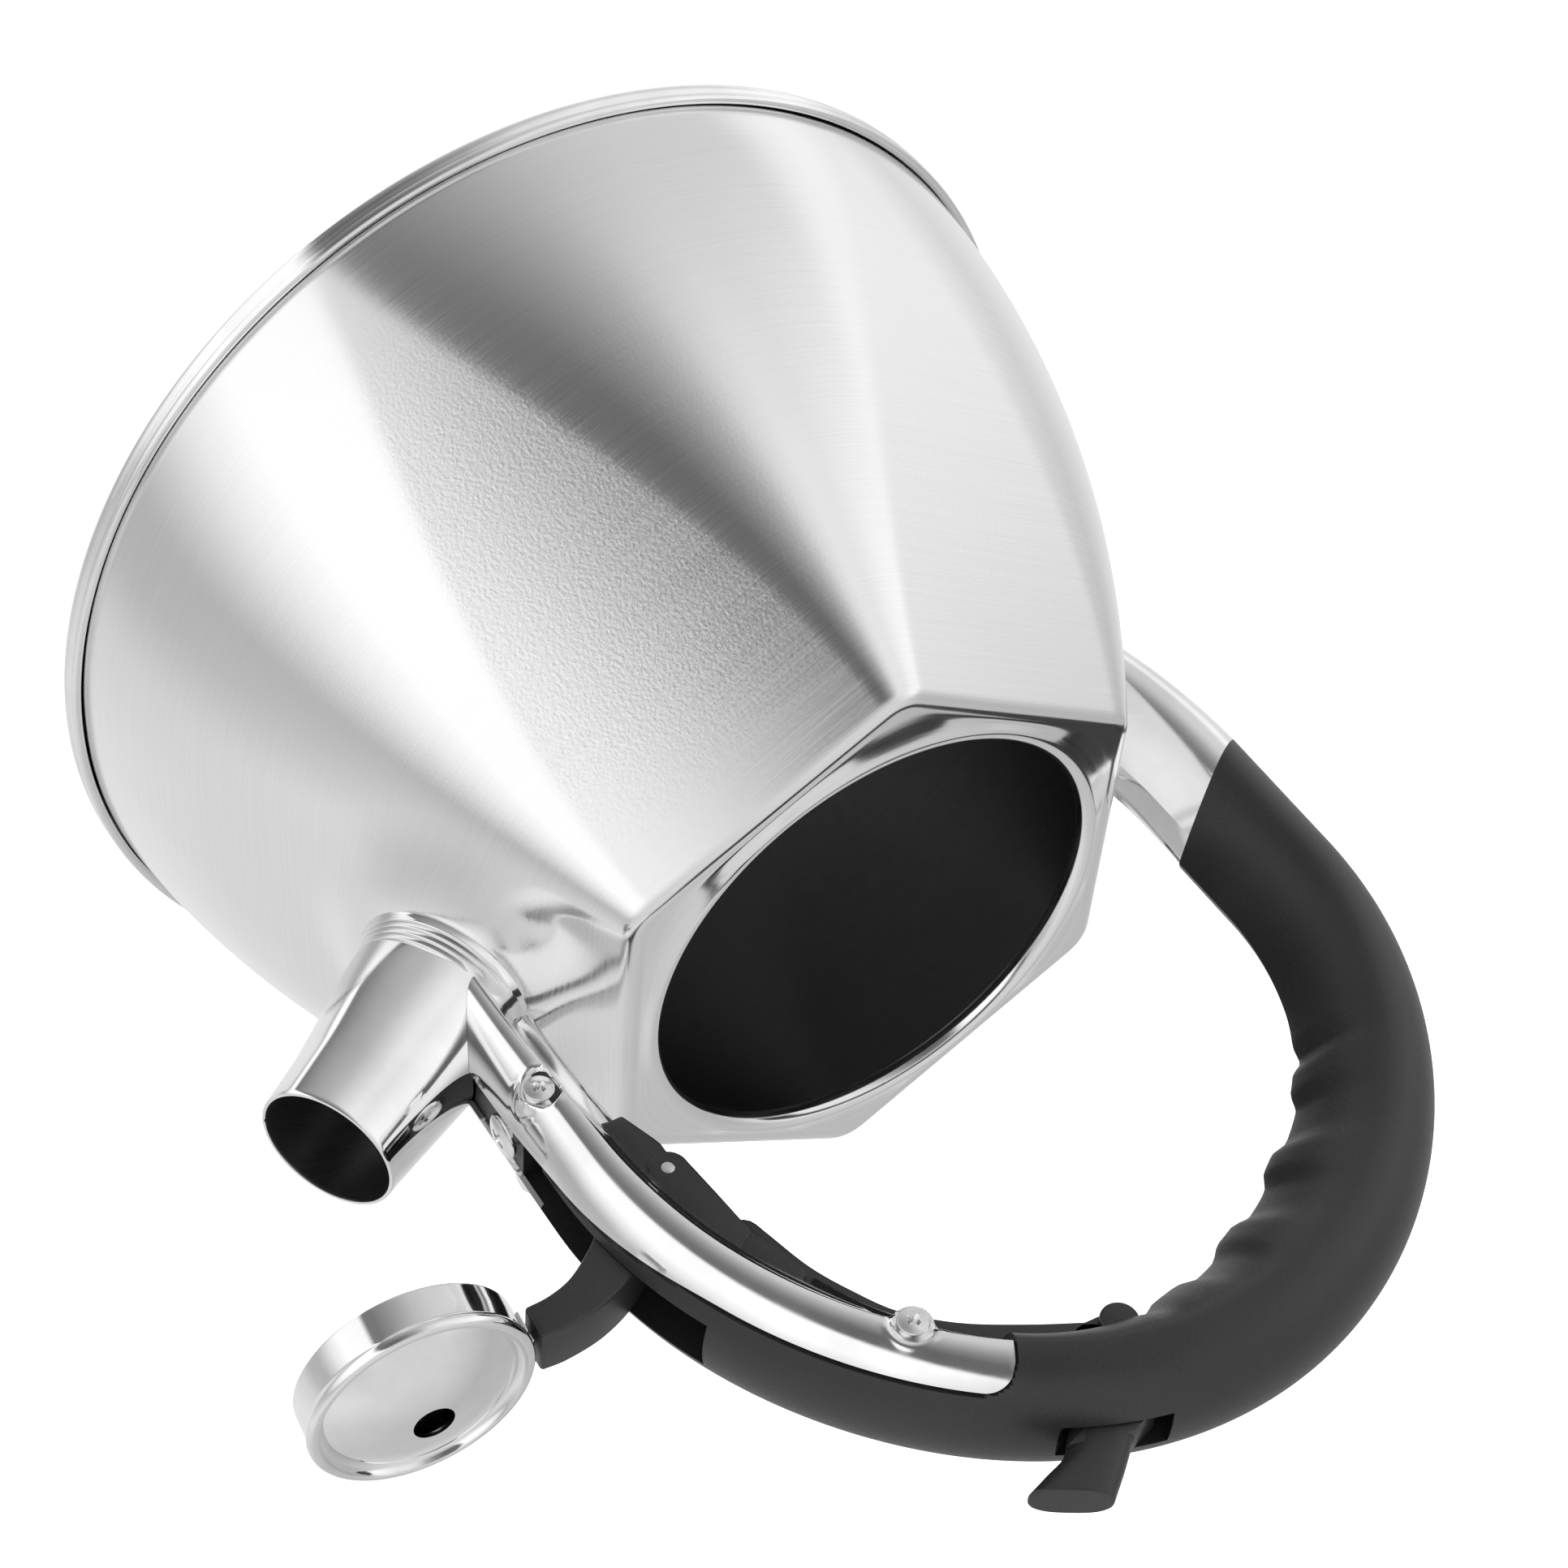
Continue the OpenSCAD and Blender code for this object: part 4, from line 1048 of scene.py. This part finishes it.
def build_cap():
    face = [(r, dome_height(r)) for r in spread(SOUND_R, 16.6, 26)]
    face += [(17.0, 0.28), (17.5, 0.75)]
    bead = arc(18.2, 0.35, 1.15, 115, -55, 14)
    band = [(CAP_R, -1.1), (CAP_R, -3.5), (CAP_R, 0.6 - CAP_SKIRT)]
    band += arc(CAP_R - 0.5, 0.5 - CAP_SKIRT, 0.5, 0, -90, 5)
    rim = [(CAP_R - 2.1, -CAP_SKIRT), (CAP_R - 2.2, 0.4 - CAP_SKIRT),
           (CAP_R - 2.1, 0.7 - CAP_SKIRT), (CAP_R - CAP_SHEET, 0.8 - CAP_SKIRT)]
    inside = [(CAP_R - CAP_SHEET, -0.6)] + [(r, dome_height(min(r, 16.5)) - CAP_SHEET)
                                            for r in spread(16.8, SOUND_R, 20)]
    cap = lathe("whistle_cap", face + bead + band + rim + inside, 200, on_cap)
    finish(cap, "whistle", ["cap_shell"], [POLISHED, SPOUT_INSIDE], 50)
    plate = [(2.5, 0.7), (2.5, 1.3), (13.4, 1.3), (15.4, 0.3), (17.1, -0.9), (18.0, -1.3),
             (18.0, -2.0), (16.9, -1.6), (15.1, -0.4), (13.2, 0.7)]
    finish(lathe("whistle_disc", plate, 160, on_cap), "whistle", ["whistle_plate"], SPOUT_INSIDE)
    r = CAP_R + 0.72
    ear = [[on_cap(r * cosd(180 + t), r * sind(180 + t), z) for z in spread(-5.6, -1.6, 6)]
           for t in spread(-14, 14, 14)]
    flange = grid_piece("flange", ear, False)
    if flange.data.polygons[0].normal.x > 0:
        flange.data.flip_normals()
    thicken(flange, 0.68)
    blade = prism("blade", [(88.8, 163.8), (97.0, 163.1), (96.8, 166), (88.8, 167.3)], -0.6, 0.6)
    bevel(flange, 0.18, 2)
    bevel(blade, 0.18, 2)
    finish(merge("cap_bracket", [flange, blade]), "whistle", ["cap_ear"], POLISHED)


build_body()
build_base()
build_spout()
build_grip()
build_bracket()
build_ferrule()
build_fixings()
build_trigger()
build_link()
build_arm()
build_cap()
pin_piece("trigger_pivot_pin", TRIGGER_AT, PIN_R, 7, "trigger_pin", "kettle")
pin_piece("arm_pivot_pin", ARM_AT, PIN_R, 5.4, "arm_pin", "kettle")
pin_piece("link_joint_pin", LINK_AT, 1.0, 4, "link_pin", "link")
pin_piece("crank_joint_pin", CRANK_AT, 0.9, 3, "crank_pin", "whistle")
pin_piece("cap_rivet_pin", RIVET_AT, 1.2, 4, "cap_rivet", "whistle")

for node, material in (("base_core", ALUMINIUM), ("rear_tang", PIN_STEEL)):
    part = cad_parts[node]
    part.data.materials.clear()
    part.data.materials.append(material)


# ---- stage, light and camera ---------------------------------------------------------------
def build_floor():
    floor = mesh_piece("floor", [(-4000, -4000, 0), (4000, -4000, 0), (4000, 4000, 0),
                                 (-4000, 4000, 0)], [(0, 1, 2, 3)])
    n = Nodes("pale_floor")
    n.shader.inputs["Base Color"].default_value = (0.9, 0.9, 0.9, 1)
    n.shader.inputs["Roughness"].default_value = 0.9
    n.shader.inputs["Emission Color"].default_value = (1, 1, 1, 1)
    n.shader.inputs["Emission Strength"].default_value = 0.55
    floor.data.materials.append(n.material)
    floor.visible_glossy = False


# Brightness of the studio round the kettle, as (direction in degrees round +Z, tone): LOW for
# what is 32 degrees below level or lower, HIGH for what is level or higher
STUDIO_LOW = [(0, 0.50), (14, 0.52), (30, 0.72), (60, 0.84), (140, 0.86), (155, 0.84), (172, 0.78),
              (183, 0.94), (193, 1.08), (201, 1.0), (210, 0.74), (235, 0.70), (250, 0.60),
              (262, 0.47), (275, 0.33), (288, 0.22), (297, 0.22), (302, 1.15), (328, 1.2),
              (342, 0.92), (352, 0.66)]
STUDIO_HIGH = [(0, 0.54), (15, 0.70), (35, 0.84), (80, 0.6), (130, 0.55), (170, 0.52), (184, 0.62),
               (199, 1.12), (212, 1.08), (230, 0.92), (242, 0.94), (252, 0.80), (262, 0.47),
               (272, 0.27), (282, 0.15), (298, 0.16), (303, 1.2), (330, 1.2), (343, 1.0),
               (353, 0.74)]


def build_studio():
    """A wrap-round studio of pale screens with one dark gap, seen in the steel; plain to the eye."""
    world = bpy.data.worlds.new("studio")
    bpy.context.scene.world = world
    world.use_nodes = True
    tree = world.node_tree
    tree.nodes.clear()

    def node(kind, inputs, **values):
        made = tree.nodes.new("ShaderNode" + kind)
        for key, value in values.items():
            setattr(made, key, value)
        for name, value in inputs.items():
            if isinstance(value, bpy.types.NodeSocket):
                tree.links.new(value, made.inputs[name])
            else:
                made.inputs[name].default_value = value
        return made

    def mix(factor, a, b):
        return node("Mix", {"Factor": factor, "A": a, "B": b}, data_type="RGBA").outputs["Result"]

    split = node("SeparateXYZ", {"Vector": node("TexCoord", {}).outputs["Generated"]})
    turn = node("Math", {0: split.outputs["Y"], 1: split.outputs["X"]}, operation="ARCTAN2")
    around = node("Math", {0: turn.outputs[0], 1: TAU}, operation="DIVIDE")
    whole = node("Math", {0: around.outputs[0]}, operation="FRACT")
    walls = []
    for tones in (STUDIO_LOW, STUDIO_HIGH):
        ramp = node("ValToRGB", {"Fac": whole.outputs[0]})
        stops = ramp.color_ramp.elements
        for i, (degrees, tone) in enumerate(tones + [(360, tones[0][1])]):
            stop = stops[i] if i < 2 else stops.new(degrees / 360)
            stop.position = degrees / 360
            stop.color = (tone, tone, tone, 1)
        walls.append(ramp.outputs["Color"])
    level = node("MapRange", {"Value": split.outputs["Z"], "From Min": -0.53, "From Max": 0.1})
    up = node("MapRange", {"Value": split.outputs["Z"], "From Min": 0.62, "From Max": 0.95})
    round_about = mix(level.outputs["Result"], walls[0], walls[1])
    studio = mix(up.outputs["Result"], round_about, (0.75, 0.75, 0.75, 1))
    plain = mix(node("LightPath", {}).outputs["Is Camera Ray"], studio, (0.94, 0.94, 0.94, 1))
    glow = node("Background", {"Color": plain})
    node("OutputWorld", {"Surface": glow.outputs["Background"]})


def soft_light(name, place, aim, size, power, shiny):
    data = bpy.data.lights.new(name, "AREA")
    data.shape = "SQUARE"
    data.size = size
    data.energy = power
    light = bpy.data.objects.new(name, data)
    bpy.context.scene.collection.objects.link(light)
    light.location = place
    light.rotation_euler = (Vector(aim) - Vector(place)).to_track_quat("-Z", "Y").to_euler()
    light.visible_glossy = shiny
    return light


def build_camera():
    """The camera is rolled, so the kettle, which stands upright, looks tipped over."""
    unit = 105 * MM
    around, up, roll = -60.17, 34.53, 140.12
    back = Vector((cosd(up) * cosd(around), cosd(up) * sind(around), sind(up)))
    right = Vector((0, 0, 1)).cross(back).normalized()
    above = back.cross(right)
    x_axis = right * cosd(roll) + above * sind(roll)
    y_axis = above * cosd(roll) - right * sind(roll)
    data = bpy.data.cameras.new("camera")
    data.lens = 73.58
    data.sensor_width = 36
    data.clip_start = 0.01
    camera = bpy.data.objects.new("camera", data)
    bpy.context.scene.collection.objects.link(camera)
    place = (Vector((0, 0, 0.6)) + back * 5.803 + x_axis * 0.128 - y_axis * 0.083) * unit
    turn = Matrix((x_axis, y_axis, back)).transposed()
    camera.matrix_world = Matrix.Translation(place) @ turn.to_4x4()
    bpy.context.scene.camera = camera


build_floor()
build_studio()
soft_light("overhead", (0.1, -0.2, 1.3), (0, 0, 0.08), 1.4, 14, False)
soft_light("side", (0.9, -0.75, 0.75), (0, 0, 0.12), 0.5, 3.0, False)
build_camera()
bpy.context.scene.view_settings.view_transform = "Standard"
